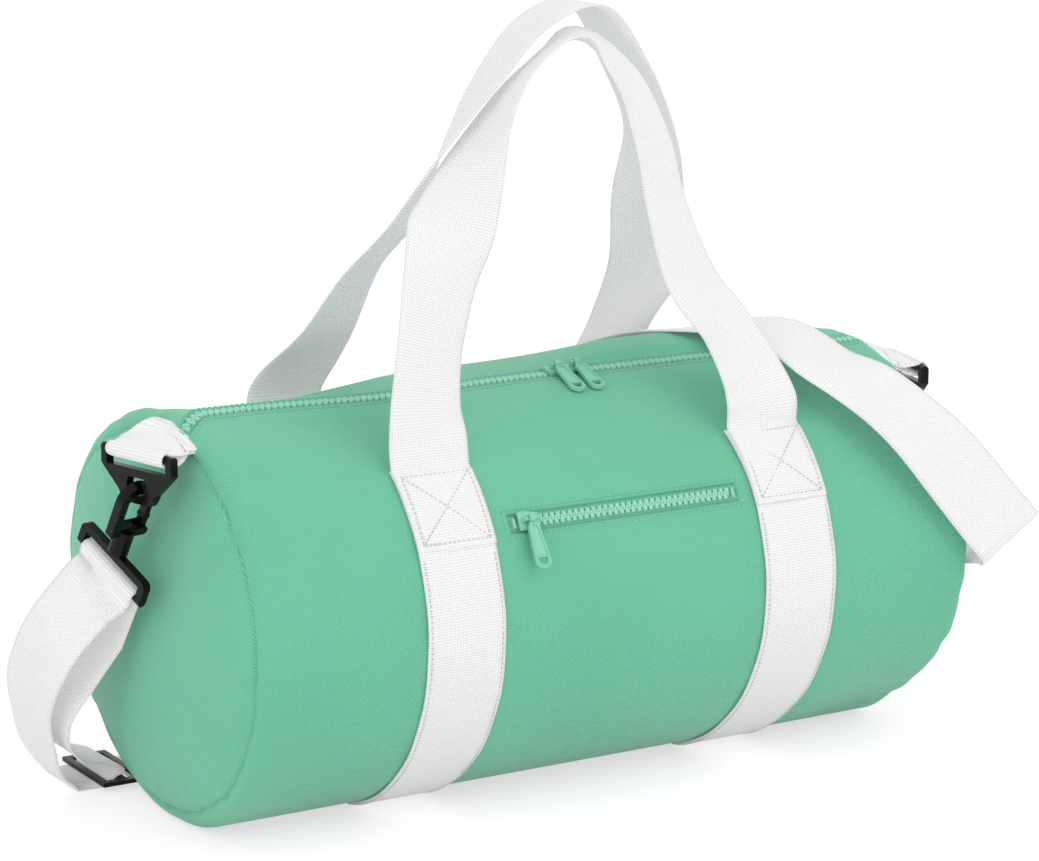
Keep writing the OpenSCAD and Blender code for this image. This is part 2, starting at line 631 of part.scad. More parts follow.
// ---- shoulder strap ----
// a place in the left hook's frame, as a place in the bag's
function from_hook(p) = let(y = p[1] * cos(hook_lean) - p[2] * sin(hook_lean),
        z = p[1] * sin(hook_lean) + p[2] * cos(hook_lean) - eye_drop)
    [p[0] * cos(ring_turn) - y * sin(ring_turn), p[0] * sin(ring_turn) + y * cos(ring_turn), z];
function hook_row(x, z, side) = let(p = from_hook([x, 0, z]),
        o = from_hook([0, 0, 0]), w = from_hook([0, -1, 0]) - o)
    [side * (p[0] - ring_out), p[1] + ring_y, p[2] + ring_z, side * w[0], w[1], w[2]];
strap_wrap = base_bar / 2 + seat + web_thick / 2;
wrap_step = 30;
function leave_row(x, bars, side) = hook_row(x, -lower_bar_mid - base_bar * bars, side);
function wrap_rows(side) = concat(
    [leave_row(strap_wrap, 1.5, side)],
    [for (t = [0 : wrap_step : 180])
        hook_row(strap_wrap * cos(t), -lower_bar_mid + strap_wrap * sin(t), side)],
    [leave_row(-strap_wrap, 1.5, side)]);
// the free strap as shares of half the length, half the depth and the height
adjuster_x_share = -0.99;
adjuster_y_share = 0.71;
tail_shares = [
    [-0.99, 0.71, 0.044, 0, -1, 0], [-1.099, 0.677, 0.092, 0, -1, 0],
    [-1.181, 0.508, 0.185, 0.03, -1, -0.06], [-1.206, 0.354, 0.28, 0.08, -0.97, -0.16],
    [-1.18, 0.231, 0.377, 0.14, -0.92, -0.3], [-1.135, 0.123, 0.487, 0.18, -0.88, -0.42]];
down_shares = [
    [-1.181, 0.023, 0.579, 0.18, -0.88, -0.42], [-1.255, 0.138, 0.459, 0.14, -0.9, -0.34],
    [-1.262, 0.354, 0.308, 0.08, -0.95, -0.22], [-1.201, 0.585, 0.152, 0.03, -1, -0.1],
    [-1.155, 0.69, 0.066, 0, -1, -0.03], [-1.105, 0.71, 0.0056, 0, -1, 0]];
away_shares = [
    [-0.93, 0.71, 0.0056, 0, -1, 0], [-0.6, 0.76, 0.0056, 0, -1, 0], [-0.25, 0.98, 0.007, 0.05, -1, 0],
    [0, 1.16, 0.06, 0.45, -0.85, 0], [0.13, 1.15, 0.22, 0.85, -0.5, 0], [0.17, 1.06, 0.5, 1, 0, 0],
    [0.17, 0.99, 0.72, 1, 0.05, 0], [0.22, 0.74, 0.915, 0.97, 0.2, 0], [0.315, 0.4, 1, 0.75, 0.66, 0],
    [0.49, 0.17, 1.052, 0.5, 0.85, 0.1], [0.647, -0.246, 1.056, 0.8, 0.55, 0.1],
    [0.713, -0.6, 0.984, 1, 0.15, 0.1], [0.803, -0.8, 0.912, 1, 0.05, 0.1],
    [0.897, -0.977, 0.796, 1, 0, 0.12], [1.035, -1.1, 0.612, 1, 0.05, 0.55],
    [1.065, -1.125, 0.574, 1, 0.05, 0.6], [1.082, -1.115, 0.551, 1, 0.05, 0.6],
    [1.092, -1.02, 0.541, 1, 0.08, 0.58], [1.145, -0.75, 0.497, 1, 0.1, 0.4],
    [1.21, -0.44, 0.43, 1, 0.35, 0.15], [1.244, -0.217, 0.375, 0.84, 0.52, 0.12],
    [1.234, 0.003, 0.385, 0.55, 0.78, 0.3], [1.184, 0.068, 0.49, 0.22, 0.86, 0.46]];
function strap_rows(shares) = [for (s = shares) [s[0] * half_length, s[1] * half_depth,
    s[2] * bag_height, s[3], s[4], s[5]]];
// over the adjuster's middle bar
adj_x = adjuster_x_share * half_length;
adj_y = adjuster_y_share * half_depth;
adj_low = seat + web_thick + seat;
adj_thick = 2.6;
adj_bar = 5;
adj_slot = 7.5;
adj_edge = 4;
strap_floor = seat + web_thick / 2;
over_bar = adj_low + adj_thick + web_thick / 2 + seat * 2;
hump_rows = [[adj_x - adj_bar / 2 - adj_slot, adj_y, strap_floor, 0, -1, 0],
    [adj_x - adj_bar / 2 - seat, adj_y, over_bar, 0, -1, 0],
    [adj_x + adj_bar / 2 + seat, adj_y, over_bar, 0, -1, 0],
    [adj_x + adj_bar / 2 + adj_slot, adj_y, strap_floor, 0, -1, 0]];
right_loop = wrap_rows(-1);
right_wrap = [for (i = [len(right_loop) - 1 : -1 : 0]) let(r = right_loop[i])
    [r[0], r[1], r[2], -r[3], -r[4], -r[5]]];
module shoulder_strap() color(webbing)
    ribbon(concat(
        spline(strap_rows(tail_shares), 3), wrap_rows(1),
        spline(strap_rows(down_shares), 3), hump_rows,
        spline(strap_rows(away_shares), 3), right_wrap), web_wide, web_thick);

module slide_adjuster() color(moulded)
    translate([adj_x, adj_y, adj_low]) difference() {
        translate([-adj_bar / 2 - adj_slot - adj_edge, -ring_wide / 2, 0])
            cube([adj_bar + (adj_slot + adj_edge) * 2, ring_wide, adj_thick]);
        for (side = [-1, 1])
            translate([side * (adj_bar + adj_slot) / 2 - adj_slot / 2, -ring_slot_wide / 2,
                -overrun])
                cube([adj_slot, ring_slot_wide, adj_thick + overrun * 2]);
    }

body_panel();
end_panel_left();
end_panel_right();
seam_binding_left();
seam_binding_right();
pocket_lining();
main_zip_front();
main_zip_rear();
main_zip_stops();
main_slider_left();
main_slider_right();
main_puller_left();
main_puller_right();
pocket_zip_upper();
pocket_zip_lower();
pocket_zip_stops();
pocket_slider();
pocket_puller();
band_left();
band_right();
handle_front();
handle_rear();
tab_left();
tab_right();
ring_left();
ring_right();
hook_left();
hook_right();
gate_left();
gate_right();
swivel_base_left();
swivel_base_right();
shoulder_strap();
slide_adjuster();
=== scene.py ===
import math

import bpy
import numpy as np
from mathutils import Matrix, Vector
from mathutils.geometry import tessellate_polygon


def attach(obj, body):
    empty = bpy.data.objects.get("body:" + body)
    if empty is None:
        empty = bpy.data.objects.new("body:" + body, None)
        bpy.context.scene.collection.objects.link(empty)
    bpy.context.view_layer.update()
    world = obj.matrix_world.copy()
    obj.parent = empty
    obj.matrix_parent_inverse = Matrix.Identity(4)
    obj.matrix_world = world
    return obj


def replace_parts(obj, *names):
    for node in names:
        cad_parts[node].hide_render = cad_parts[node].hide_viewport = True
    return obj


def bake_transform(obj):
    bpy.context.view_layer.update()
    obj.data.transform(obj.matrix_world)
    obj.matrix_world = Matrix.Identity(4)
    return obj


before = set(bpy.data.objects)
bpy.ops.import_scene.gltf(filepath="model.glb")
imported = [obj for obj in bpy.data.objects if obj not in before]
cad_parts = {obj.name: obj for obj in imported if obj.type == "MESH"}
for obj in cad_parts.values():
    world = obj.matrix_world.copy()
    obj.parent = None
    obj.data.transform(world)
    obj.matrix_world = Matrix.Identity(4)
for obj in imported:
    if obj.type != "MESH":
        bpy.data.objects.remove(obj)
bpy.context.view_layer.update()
MM = 0.001

# sizes of the part, in millimetres and degrees
# barrel: half length and depth, half height of the oval, height of its middle and of its underside
HALF_LENGTH, HALF_DEPTH, RISE, AXIS_Z, BASE_Z = 240.0, 130.0, 122.1, 119.9, 2.3
END_ROUND, END_BULGE = 10.0, 13.0
# webbing, the bands' place, and the angles between which the handles are sewn down
WEB, WEB_T, BAND_X, FOLD_A, SEWN_A = 50.0, 2.0, 114.0, 48.0, 24.0
# the fold above the sewn ends, and the handles' rise over it
FOLD_Y, FOLD_Z, HANDLE_RISE = 91.2, 215.32, 246.0
# each zip: its angle, millimetres of cloth per degree there, half its teeth's run, half its slot
ZIP_A, ZIP_DEG, ZIP_HALF, SLOT_S = 81.0, 2.27, 242.0, 5.8
PZ_A, PZ_DEG, PZ_HALF, PSLOT_S = 28.5, 2.163, 73.0, 5.4
# middle of the pocket zip, and half its slot's length
PZ_MID, PSLOT_X = 1.0, 77.5
# from tooth to tooth, and heights over the cloth of the tapes and of the pullers' pins
PITCH, ZIP_LOW, PIN_Z = 4.0, -1.95, 5.57
FABRIC, SEAT, POCKET_DEEP = 1.6, 0.3, 13.0
# ring, hook and swivel base, and the turns of webbing round their bars
RING_OUT, RING_Y, RING_Z, RING_TURN, HOOK_LEAN, EYE_DROP = 265.0, -30.0, 224.0, 13.5, 28.0, 19.0
BAR_MID, BASE_BAR, STRAP_WRAP, TAB_WRAP = 59.7, 4.6, 3.6, 3.85
# half length, half depth and height, which the strap's route is given in shares of
WHOLE = (HALF_LENGTH, HALF_DEPTH, 242.0)

# ---------------------------------------------------------------- camera and lamps
# the camera is fitted to the photograph's seams, bands and zip
scene = bpy.context.scene
cam = bpy.data.cameras.new("camera")
cam.lens, cam.sensor_width, cam.sensor_fit = 116.30, 36.0, "HORIZONTAL"
cam.shift_x, cam.shift_y = -0.00184, 0.05106
cam_ob = bpy.data.objects.new("camera", cam)
scene.collection.objects.link(cam_ob)
cam_ob.location = (-1.01845, -1.69315, 0.62247)
aim = Vector((0, 0, 0.170)) - cam_ob.location
cam_ob.rotation_euler = aim.to_track_quat("-Z", "Y").to_euler()
scene.camera = cam_ob
scene.view_settings.view_transform = "Standard"


def lamp(name, size, power, place, target):
    data = bpy.data.lights.new(name, "AREA")
    data.shape, data.size, data.energy = "SQUARE", size, power
    ob = bpy.data.objects.new(name, data)
    ob.location = place
    ob.rotation_euler = (Vector(target) - Vector(place)).to_track_quat("-Z", "Y").to_euler()
    scene.collection.objects.link(ob)


lamp("key", 2.6, 16.5, (0.9, -1.6, 2.0), (0, 0, 0.12))
lamp("fill", 1.8, 9.5, (-2.2, -1.0, 1.0), (0, 0, 0.12))

world = bpy.data.worlds.new("world")
scene.world = world
world.use_nodes = True


def feed(tree, socket, value):
    """A socket's value: what another socket gives, or a constant."""
    if isinstance(value, bpy.types.NodeSocket):
        tree.links.new(value, socket)
    else:
        socket.default_value = value


def node(tree, kind, props=None, **inputs):
    """New shader node; an input is named by its name, or by its number as i0, i1 and so on."""
    n = tree.nodes.new("ShaderNode" + kind)
    for k, v in (props or {}).items():
        setattr(n, k, v)
    for k, v in inputs.items():
        numbered = k[0] == "i" and k[1:].isdigit()
        feed(tree, n.inputs[int(k[1:]) if numbered else k.replace("_", " ")], v)
    return n


def calc(tree, op, a, b=0.0, c=0.0):
    return node(tree, "Math", {"operation": op}, i0=a, i1=b, i2=c).outputs[0]


def noise(tree, where, scale, detail, **more):
    return node(tree, "TexNoise", Vector=where, Scale=scale, Detail=detail, **more).outputs["Fac"]


def wave(tree, place, pitch):
    """Sine along a place, one turn per pitch."""
    return calc(tree, "SINE", calc(tree, "MULTIPLY", place, 2 * math.pi / pitch))


def grey(tree, value):
    return node(tree, "CombineColor", Red=value, Green=value, Blue=value).outputs[0]


def blend_colour(tree, kind, share, a, b):
    n = node(tree, "Mix", {"data_type": "RGBA", "blend_type": kind})
    for k, v in ((0, share), (6, a), (7, b)):
        feed(tree, n.inputs[k], v)
    return n.outputs[2]


def lens_rays(tree):
    """1 where a ray comes from the camera or off a glossy surface."""
    path = node(tree, "LightPath")
    return calc(tree, "MAXIMUM", path.outputs["Is Camera Ray"], path.outputs["Is Glossy Ray"])


WORLD_LIGHT = 0.78
wt = world.node_tree
back = wt.nodes["Background"]
# the camera and glossy surfaces see white, the object gets the plainer level
shown = calc(wt, "MULTIPLY_ADD", lens_rays(wt), 1.0 - WORLD_LIGHT, WORLD_LIGHT)
wt.links.new(shown, back.inputs["Strength"])
back.inputs["Color"].default_value = (1, 1, 1, 1)


# ---------------------------------------------------------------- materials
def material(name, rough, spec, **more):
    """New material, its node tree and its shader."""
    m = bpy.data.materials.new(name)
    m.use_nodes = True
    b = m.node_tree.nodes["Principled BSDF"]
    b.inputs["Roughness"].default_value = rough
    b.inputs["Specular IOR Level"].default_value = spec
    for k, v in more.items():
        b.inputs[k.replace("_", " ")].default_value = v
    return m, m.node_tree, b


def lin(*levels):
    """Linear colour of screen levels from 0 to 255."""
    return tuple(((c / 255 + 0.055) / 1.055) ** 2.4 if c > 10 else c / 255 / 12.92
                 for c in levels) + (1.0,)


def scaled(colour, share):
    return tuple(min(1, c * share) for c in colour[:3]) + (1,)


def put_bump(t, b, height, distance, strength=1.0, under=None):
    n = node(t, "Bump", Strength=strength, Distance=distance, Height=height)
    if under is not None:
        t.links.new(under, n.inputs["Normal"])
    t.links.new(n.outputs[0], b.inputs["Normal"])


def twill(name, dark, light, pitch=1.75e-3):
    """Woven polyester: fine diagonal ridges broken by the crossing threads, and slow mottling."""
    m, t, b = material(name, 0.5, 0.42, Sheen_Weight=0.12, Sheen_Roughness=0.5)
    places = node(t, "TexCoord").outputs
    on_cloth, in_space = places["UV"], places["Object"]
    uv = node(t, "SeparateXYZ", Vector=on_cloth)
    wobble = calc(t, "MULTIPLY_ADD", noise(t, on_cloth, 160.0, 2.0), 0.0006, -0.0003)
    u, v = uv.outputs[0], calc(t, "ADD", uv.outputs[1], wobble)
    ridge = calc(t, "MULTIPLY_ADD", wave(t, calc(t, "ADD", u, v), pitch), 0.5, 0.5)
    cross = wave(t, calc(t, "SUBTRACT", u, v), pitch * 0.62)
    cross = calc(t, "MULTIPLY_ADD", cross, 0.5, 0.5)
    weave = calc(t, "MULTIPLY", ridge, calc(t, "MULTIPLY_ADD", cross, 0.45, 0.55))
    fine = noise(t, on_cloth, 1500.0, 3.0)
    mixed = calc(t, "MULTIPLY_ADD", fine, 0.45, calc(t, "MULTIPLY", weave, 0.62))
    col = blend_colour(t, "MIX", mixed, dark, light)
    mottle = node(t, "MapRange", Value=noise(t, in_space, 9.0, 3.0), From_Min=0.3, From_Max=0.7,
                  To_Min=0.955, To_Max=1.03).outputs[0]
    cloth = blend_colour(t, "MULTIPLY", 1.0, col, grey(t, mottle))
    # light that other pieces gather from the cloth is nearly colourless, as under a lamp all round
    bounce = calc(t, "MULTIPLY", node(t, "LightPath").outputs["Is Diffuse Ray"], 0.8)
    gathered = blend_colour(t, "MIX", bounce, cloth, (0.45, 0.5, 0.48, 1))
    t.links.new(gathered, b.inputs["Base Color"])
    crumple = noise(t, in_space, 26.0, 4.0, Roughness=0.55)
    soft = node(t, "Bump", Strength=0.5, Distance=0.0022, Height=crumple)
    put_bump(t, b, mixed, 0.0004, 0.95, soft.outputs[0])
    return m


def webbing(name, dark, light, pu=1.7e-3, pv=1.6e-3, rough=0.7, painted_glow=0.0):
    """Heavy woven webbing: weft ribs across and warp lines along; pu and pv are their pitches."""
    m, t, b = material(name, rough, 0.3, Sheen_Weight=0.2, Sheen_Roughness=0.6)
    on_cloth = node(t, "TexCoord").outputs["UV"]
    uv = node(t, "SeparateXYZ", Vector=on_cloth)
    wobble = calc(t, "MULTIPLY_ADD", noise(t, on_cloth, 90.0, 2.0), 0.0008, -0.0004)
    weft = wave(t, calc(t, "ADD", uv.outputs[1], wobble), pv)
    warp = wave(t, uv.outputs[0], pu)
    check = calc(t, "MULTIPLY", weft, calc(t, "MULTIPLY", warp, 0.55))
    rib = calc(t, "MULTIPLY", weft, 0.28)
    height = calc(t, "ADD", calc(t, "ADD", check, rib), 0.5)
    fine = noise(t, on_cloth, 1400.0, 2.0)
    mixed = calc(t, "MULTIPLY_ADD", fine, 0.3, calc(t, "MULTIPLY", height, 0.8))
    t.links.new(blend_colour(t, "MIX", mixed, dark, light), b.inputs["Base Color"])
    # painted light: the webbing gives off a faint glow of its own, evenly all over, which brightens
    # it
    b.inputs["Emission Color"].default_value = light
    b.inputs["Emission Strength"].default_value = painted_glow
    put_bump(t, b, mixed, 0.0005, 0.8)
    return m


def plastic(name, colour, rough, bump=0.00006, scale=700.0, spread=0.05, edge=0.0, spec=0.5):
    """Moulded plastic: fine spark-eroded skin with slight streaks of colour, and softened edges."""
    m, t, b = material(name, rough, spec)
    in_space = node(t, "TexCoord").outputs["Object"]
    grain, slow = noise(t, in_space, scale, 3.0), noise(t, in_space, 60.0, 2.0)
    streaks = blend_colour(t, "MIX", slow, scaled(colour, 1 - spread), scaled(colour, 1 + spread))
    t.links.new(streaks, b.inputs["Base Color"])
    matt = node(t, "MapRange", Value=grain, To_Min=rough * 0.85, To_Max=rough * 1.2).outputs[0]
    t.links.new(matt, b.inputs["Roughness"])
    soft = node(t, "Bevel", {"samples": 4}, Radius=edge).outputs[0] if edge else None
    put_bump(t, b, grain, bump, 0.8, soft)
    return m


def thread(name, colour):
    """Sewing thread: its fibres as fine streaks."""
    m, t, b = material(name, 0.55, 0.35, Sheen_Weight=0.2)
    fibres = noise(t, node(t, "TexCoord").outputs["Object"], 2600.0, 2.0)
    t.links.new(blend_colour(t, "MIX", fibres, scaled(colour, 0.8), colour), b.inputs["Base Color"])
    put_bump(t, b, fibres, 0.0001)
    return m


M_TWILL = twill("mint_twill", lin(66, 170, 121), lin(141, 226, 196))
M_LINING = twill("mint_lining", lin(80, 160, 124), lin(112, 190, 156), 1.1e-3)
M_TAPE = webbing("mint_tape", lin(92, 180, 142), lin(134, 214, 182), 1.1e-3, 1.2e-3, 0.6)
# the white webbing gets a faint painted glow that brightens it
M_WEB = webbing("white_webbing", lin(206, 207, 206), lin(255, 255, 255), painted_glow=0.13)
M_TEETH = plastic("mint_teeth", lin(150, 219, 194), 0.34)
M_PULL = plastic("mint_slider", lin(132, 208, 178), 0.32, spread=0.04, edge=0.0004)
M_BLACK = plastic("black_moulded", lin(10, 10, 11), 0.26, 0.00005, 420.0, 0.25, 0.0006, 0.16)
M_THREAD = thread("mint_thread", lin(146, 216, 190))
M_WHITE = thread("white_thread", lin(216, 217, 216))

# ---------------------------------------------------------------- floor
floor_mat, ft, fb = material("floor", 0.9, 0.1)
grain = node(ft, "TexNoise", Scale=3.0).outputs["Fac"]
pale = blend_colour(ft, "MIX", grain, (0.93, 0.93, 0.93, 1), (0.95, 0.95, 0.95, 1))
lens_ray = lens_rays(ft)
gain = grey(ft, calc(ft, "MULTIPLY_ADD", lens_ray, -0.45, 1.0))
ft.links.new(blend_colour(ft, "MULTIPLY", 1.0, pale, gain), fb.inputs["Base Color"])
# the studio floor is lit from all round, so its shadow stays pale
fb.inputs["Emission Color"].default_value = (1, 1, 1, 1)
ft.links.new(calc(ft, "MULTIPLY", lens_ray, 0.62), fb.inputs["Emission Strength"])
fm = bpy.data.meshes.new("floor")
fm.from_pydata([(-9, -9, 0), (9, -9, 0), (9, 9, 0), (-9, 9, 0)], [], [(0, 1, 2, 3)])
fm.materials.append(floor_mat)
floor = bpy.data.objects.new("floor", fm)
scene.collection.objects.link(floor)


# ---------------------------------------------------------------- mesh helpers
def make(name, verts, faces, mat, body, uv):
    """Piece from points in millimetres; without a body, it is left unattached."""
    me = bpy.data.meshes.new(name)
    me.from_pydata((np.asarray(verts, float) * MM).tolist(), [],
                   [tuple(int(i) for i in f) for f in faces])
    me.materials.append(mat)
    me.polygons.foreach_set("use_smooth", [True] * len(me.polygons))
    layer = me.uv_layers.new(name="UVMap")
    idx = np.empty(len(me.loops), int)
    me.loops.foreach_get("vertex_index", idx)
    layer.data.foreach_set("uv", (np.asarray(uv, float) * MM)[idx].ravel())
    me.update()
    ob = bpy.data.objects.new(name, me)
    scene.collection.objects.link(ob)
    if body:
        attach(ob, body)
    return ob


def grid_faces(n, m, wrap=False, keep=None):
    """Quads of a grid of n rows by m points, closed round each row with wrap."""
    i, j = np.meshgrid(np.arange(n - 1), np.arange(m if wrap else m - 1), indexing="ij")
    k = (j + 1) % m
    f = np.stack([i * m + j, i * m + k, (i + 1) * m + k, (i + 1) * m + j], -1)
    return f[keep] if keep is not None else f.reshape(-1, 4)


def unit(v):
    return v / np.maximum(np.linalg.norm(v, axis=-1, keepdims=True), 1e-9)


def spline(rows, per):
    """Catmull-Rom curve through the rows, with per points to each span."""
    p = np.asarray(rows, float)
    out = []
    for i in range(len(p) - 1):
        a, b, c, d = p[max(i - 1, 0)], p[i], p[i + 1], p[min(i + 2, len(p) - 1)]
        for k in range(per):
            t = k / per
            out.append((b * 2 + (c - a) * t + (a * 2 - b * 5 + c * 4 - d) * t * t
                        + (b * 3 - a - c * 3 + d) * t ** 3) / 2)
    out.append(p[-1])
    return np.array(out)


def section(cells):
    """Cross-section of webbing: places across (-1..1) and how far up (1) or down (-1) they lie."""
    u = np.linspace(-1, 1, cells + 1)
    h = (1 - np.abs(u) ** 14) ** 0.5 * 0.999 + 0.001
    h = np.where(np.abs(np.abs(u) - 1) < 1e-6, 0.35, h)
    return np.concatenate([u, u[::-1]]), np.concatenate([h, -h[::-1]])


def loft(name, loops, uv, body, caps=(True, True)):
    """White webbing from its cross-sections; caps says which ends are closed by flat faces."""
    n, m = loops.shape[:2]
    faces = [tuple(f) for f in grid_faces(n, m, True)]
    half, sides = m // 2, len(faces)
    for base in [b for b, wanted in zip((0, (n - 1) * m), caps) if wanted]:
        for j in range(half - 1):
            quad = (base + j, base + j + 1, base + m - 2 - j, base + m - 1 - j)
            faces.append(quad if base == 0 else quad[::-1])
    ob = make(name, loops.reshape(-1, 3), faces, M_WEB, body, uv.reshape(-1, 2))
    ob.data.polygons.foreach_set("use_smooth", [i < sides for i in range(len(faces))])
    return ob


def run_of(pts):
    """Distance run along the points, from 0 at the first."""
    return np.concatenate([[0], np.cumsum(np.linalg.norm(np.diff(pts, axis=0), axis=1))])


def frames_of(rows):
    """Place, width and face direction of webbing, from rows of place and rough width direction."""
    p, g = rows[:, :3], rows[:, 3:6]
    t = unit(np.gradient(p, axis=0))
    w = unit(g - t * np.sum(g * t, 1, keepdims=True))
    return np.concatenate([p, w, np.cross(t, w)], 1)


def ribbon(name, rows, body, thick=WEB_T, v0=0.0, cells=14, caps=(True, True)):
    """Webbing along rows that frames_of made; its weave starts at v0. Gives piece and run."""
    p, w, n = rows[:, :3], rows[:, 3:6], rows[:, 6:9]
    u, h = section(cells)
    across = u * WEB / 2
    loops = (p[:, None] + w[:, None] * across[None, :, None]
             + n[:, None] * (h * thick / 2)[None, :, None])
    run = run_of(p) + v0
    uv = np.stack(np.broadcast_arrays(across[None, :], run[:, None]), -1)
    return loft(name, loops, uv, body, caps), run[-1]


def scatter(name, tv, tf, origin, axes, mat):
    """Copies of one small shape as one piece on the bag, its x, y and z as rows of axes."""
    n, k = len(origin), len(tv)
    v = origin[:, None] + np.einsum("kc,ncd->nkd", tv, axes)
    faces = [tuple(int(q) + i * k for q in f) for i in range(n) for f in tf]
    uv = np.tile(tv[:, :2], (n, 1)) + np.repeat(np.arange(n) * 3.0, k)[:, None]
    return make(name, v.reshape(-1, 3), faces, mat, "bag", uv)


def pill(long, high):
    """One stitch: a short capsule of thread pulled into the cloth at both ends."""
    v, f, ring, wide = [], [], 6, 0.8
    # place along, radius and height of each ring of points, as shares
    rings = ((-0.5, 0.25, -0.8), (-0.36, 0.9, -0.1), (0.0, 1.0, 0.12), (0.36, 0.9, -0.1),
             (0.5, 0.25, -0.8))
    for x, r, z in rings:
        for k in range(ring):
            t = 2 * math.pi * k / ring
            v.append((x * long, math.cos(t) * r * wide / 2, (z + math.sin(t) * r) * high / 2))
    for i in range(len(rings) - 1):
        for k in range(ring):
            k2 = (k + 1) % ring
            f.append((i * ring + k, (i + 1) * ring + k, (i + 1) * ring + k2, i * ring + k2))
    return np.array(v), f


def sample(s, run, rows):
    return np.stack([np.interp(s, run, rows[:, k]) for k in range(3)], 1)


def stitches(name, lines, mat, pitch=3.4, long=2.5, high=0.7):
    """Thread sewn along lines, each a pair of points and their normals."""
    o, ax = [], []
    for pts, nor in lines:
        run = run_of(pts)
        count = max(1, int(run[-1] / pitch))
        s = (np.arange(count) + 0.5) * run[-1] / count
        t = unit(sample(s + 0.5, run, pts) - sample(s - 0.5, run, pts))
        b = unit(np.cross(unit(sample(s, run, nor)), t))
        o.append(sample(s, run, pts))
        ax.append(np.stack([t, b, np.cross(t, b)], 1))
    v, f = pill(long, high)
    scatter(name, v, f, np.concatenate(o), np.concatenate(ax), mat)


# ---------------------------------------------------------------- the soft barrel
def smooth(t):
    t = np.clip(t, 0, 1)
    return t * t * (3 - 2 * t)


def wrap(d):
    return (d + 180.0) % 360.0 - 180.0


def rounded(x):
    """How far x lies into the rounding of the end, from 0 to 1 at the seam."""
    return np.clip((np.abs(x) - HALF_LENGTH + END_ROUND) / END_ROUND, 0, 1)


def shrink(x):
    """How much smaller the oval is at x."""
    u = rounded(x)
    return END_ROUND * (1 - np.sqrt(1 - u * u))


rng = np.random.default_rng(7)
WAVES = [(k, rng.uniform(0, 6.28), rng.uniform(0.5, 1.0)) for k in range(11, 40, 2)]
# the gathers' shift at the right seam, so that the ends differ
RIGHT_SHIFT = 1.7


def gather(a, shift):
    """Uneven gathering of the cloth along a seam, about -1..1."""
    r = np.radians(a)
    s = sum(c * np.sin(k * r + p + shift) for k, p, c in WAVES)
    return np.clip(s / 3.2, -1.3, 1.3)


# soft dents and swellings: place x, angle, reach along, reach round in degrees, height
DENTS = [
    (75, 56, 24, 11, -6.0), (-190, 110, 60, 20, -9.5), (-232, 112, 14, 20, 2.0),
    (112, 98, 52, 10, 9.5), (20, 101, 40, 8, 1.0), (-70, 104, 40, 9, 2.0), (-175, 20, 30, 26, 2.5),
    (-60, 62, 40, 9, -2.0), (10, -5, 70, 22, 2.0), (-195, -28, 22, 12, -2.0),
    (180, 10, 34, 24, 2.0), (205, 52, 16, 16, -3.0), (60, 12, 14, 14, -1.6),
    (-40, 8, 12, 16, -1.4), (-150, 62, 14, 12, -2.4), (150, 66, 14, 12, -2.2),
    (-180, 150, 40, 25, 2.5), (0, 160, 80, 30, 3.0), (185, 150, 38, 25, 2.0),
    (0, 200, 70, 14, -2.0), (-60, 130, 20, 14, -2.5), (-236, 170, 20, 45, 6.0),
    (222, -58, 30, 26, -6.0), (236, 0, 20, 34, 4.0),
]


def zip_bend(x):
    """How far the zip line wanders to the front, in degrees, and sags, in millimetres."""
    left = np.exp(-((x + 105) / 38.0) ** 2 / 2)
    return 1.5 * left + 6.0 * smooth((-x - 220) / 20.0), 1.0 * left


def field(x, a):
    """Height of the cloth's dents, swellings and gathers over the plain barrel."""
    d = np.zeros(np.broadcast(x, a).shape)
    for px, pa, sx, sa, amp in DENTS:
        d = d + amp * np.exp(-((x - px) / sx) ** 2 / 2 - (wrap(a - pa) / sa) ** 2 / 2)
    # the webbing bands hold the cloth in, and it swells a little between them
    for bx in (-BAND_X, BAND_X):
        d = d - 1.2 * np.exp(-(np.abs(x - bx) / 32.0) ** 4)
    near = HALF_LENGTH - np.abs(x)
    side = np.where(x < 0, 0.0, RIGHT_SHIFT)
    # the gathers are weaker over the top
    front = 0.45 + 0.55 * smooth((wrap(150 - a) - 20) / 40.0) * smooth((wrap(a + 110)) / 30.0)
    d = d + 1.1 * front * gather(a, side) * np.exp(-np.maximum(near, 0) / 13.0)
    d = d + 0.55 * gather(a * 0.5 + 40, side) * np.exp(-np.maximum(near, 0) / 45.0)
    # quiet beside the zips
    zs = np.abs(wrap(a - ZIP_A)) * ZIP_DEG
    still = smooth((zs - 8) / np.where(wrap(a - ZIP_A) > 0, 8.0, 22.0))
    ps = np.maximum(np.abs(wrap(a - PZ_A)) * 2.16 - 10, 0) / 20
    px = np.maximum(np.abs(x - PZ_MID) - PSLOT_X, 0) / 20
    still = still * smooth(np.hypot(ps, px))
    return d * still


def normal(a):
    r = np.radians(a)
    return unit(np.stack([np.zeros_like(r), -np.cos(r) / HALF_DEPTH, np.sin(r) / RISE], -1))


def rest_at(x):
    """Height of the flattened underside: on the bands, and pressed to the ground between them."""
    sag_in, sag_ease = 79.0, 9.7
    return BASE_Z * np.clip((np.abs(x) - sag_in) / sag_ease, 0, 1)


def skin(x, a, lift):
    """Points on the cloth at place x along the bag and angle a, lifted off it."""
    x, a, lift = np.broadcast_arrays(*(np.asarray(q, float) for q in (x, a, lift)))
    turn, sag = zip_bend(x)
    near = np.exp(-(wrap(a - ZIP_A) / 24.0) ** 2 / 2)
    sag = sag * np.exp(-(wrap(a - ZIP_A + 4) / 11.0) ** 2 / 2)
    flat, a = a, a - turn * near
    r = np.radians(a)
    s = lift - shrink(x)
    z = AXIS_Z + (RISE + s) * np.sin(r)
    p = np.stack([x, -(HALF_DEPTH + s) * np.cos(r), z], -1)
    above = smooth((z - BASE_Z - 1) / 16.0)
    p = p + normal(a) * (field(x, flat) * above - sag)[..., None]
    p[..., 2] = np.maximum(p[..., 2], rest_at(x) - lift)
    return p


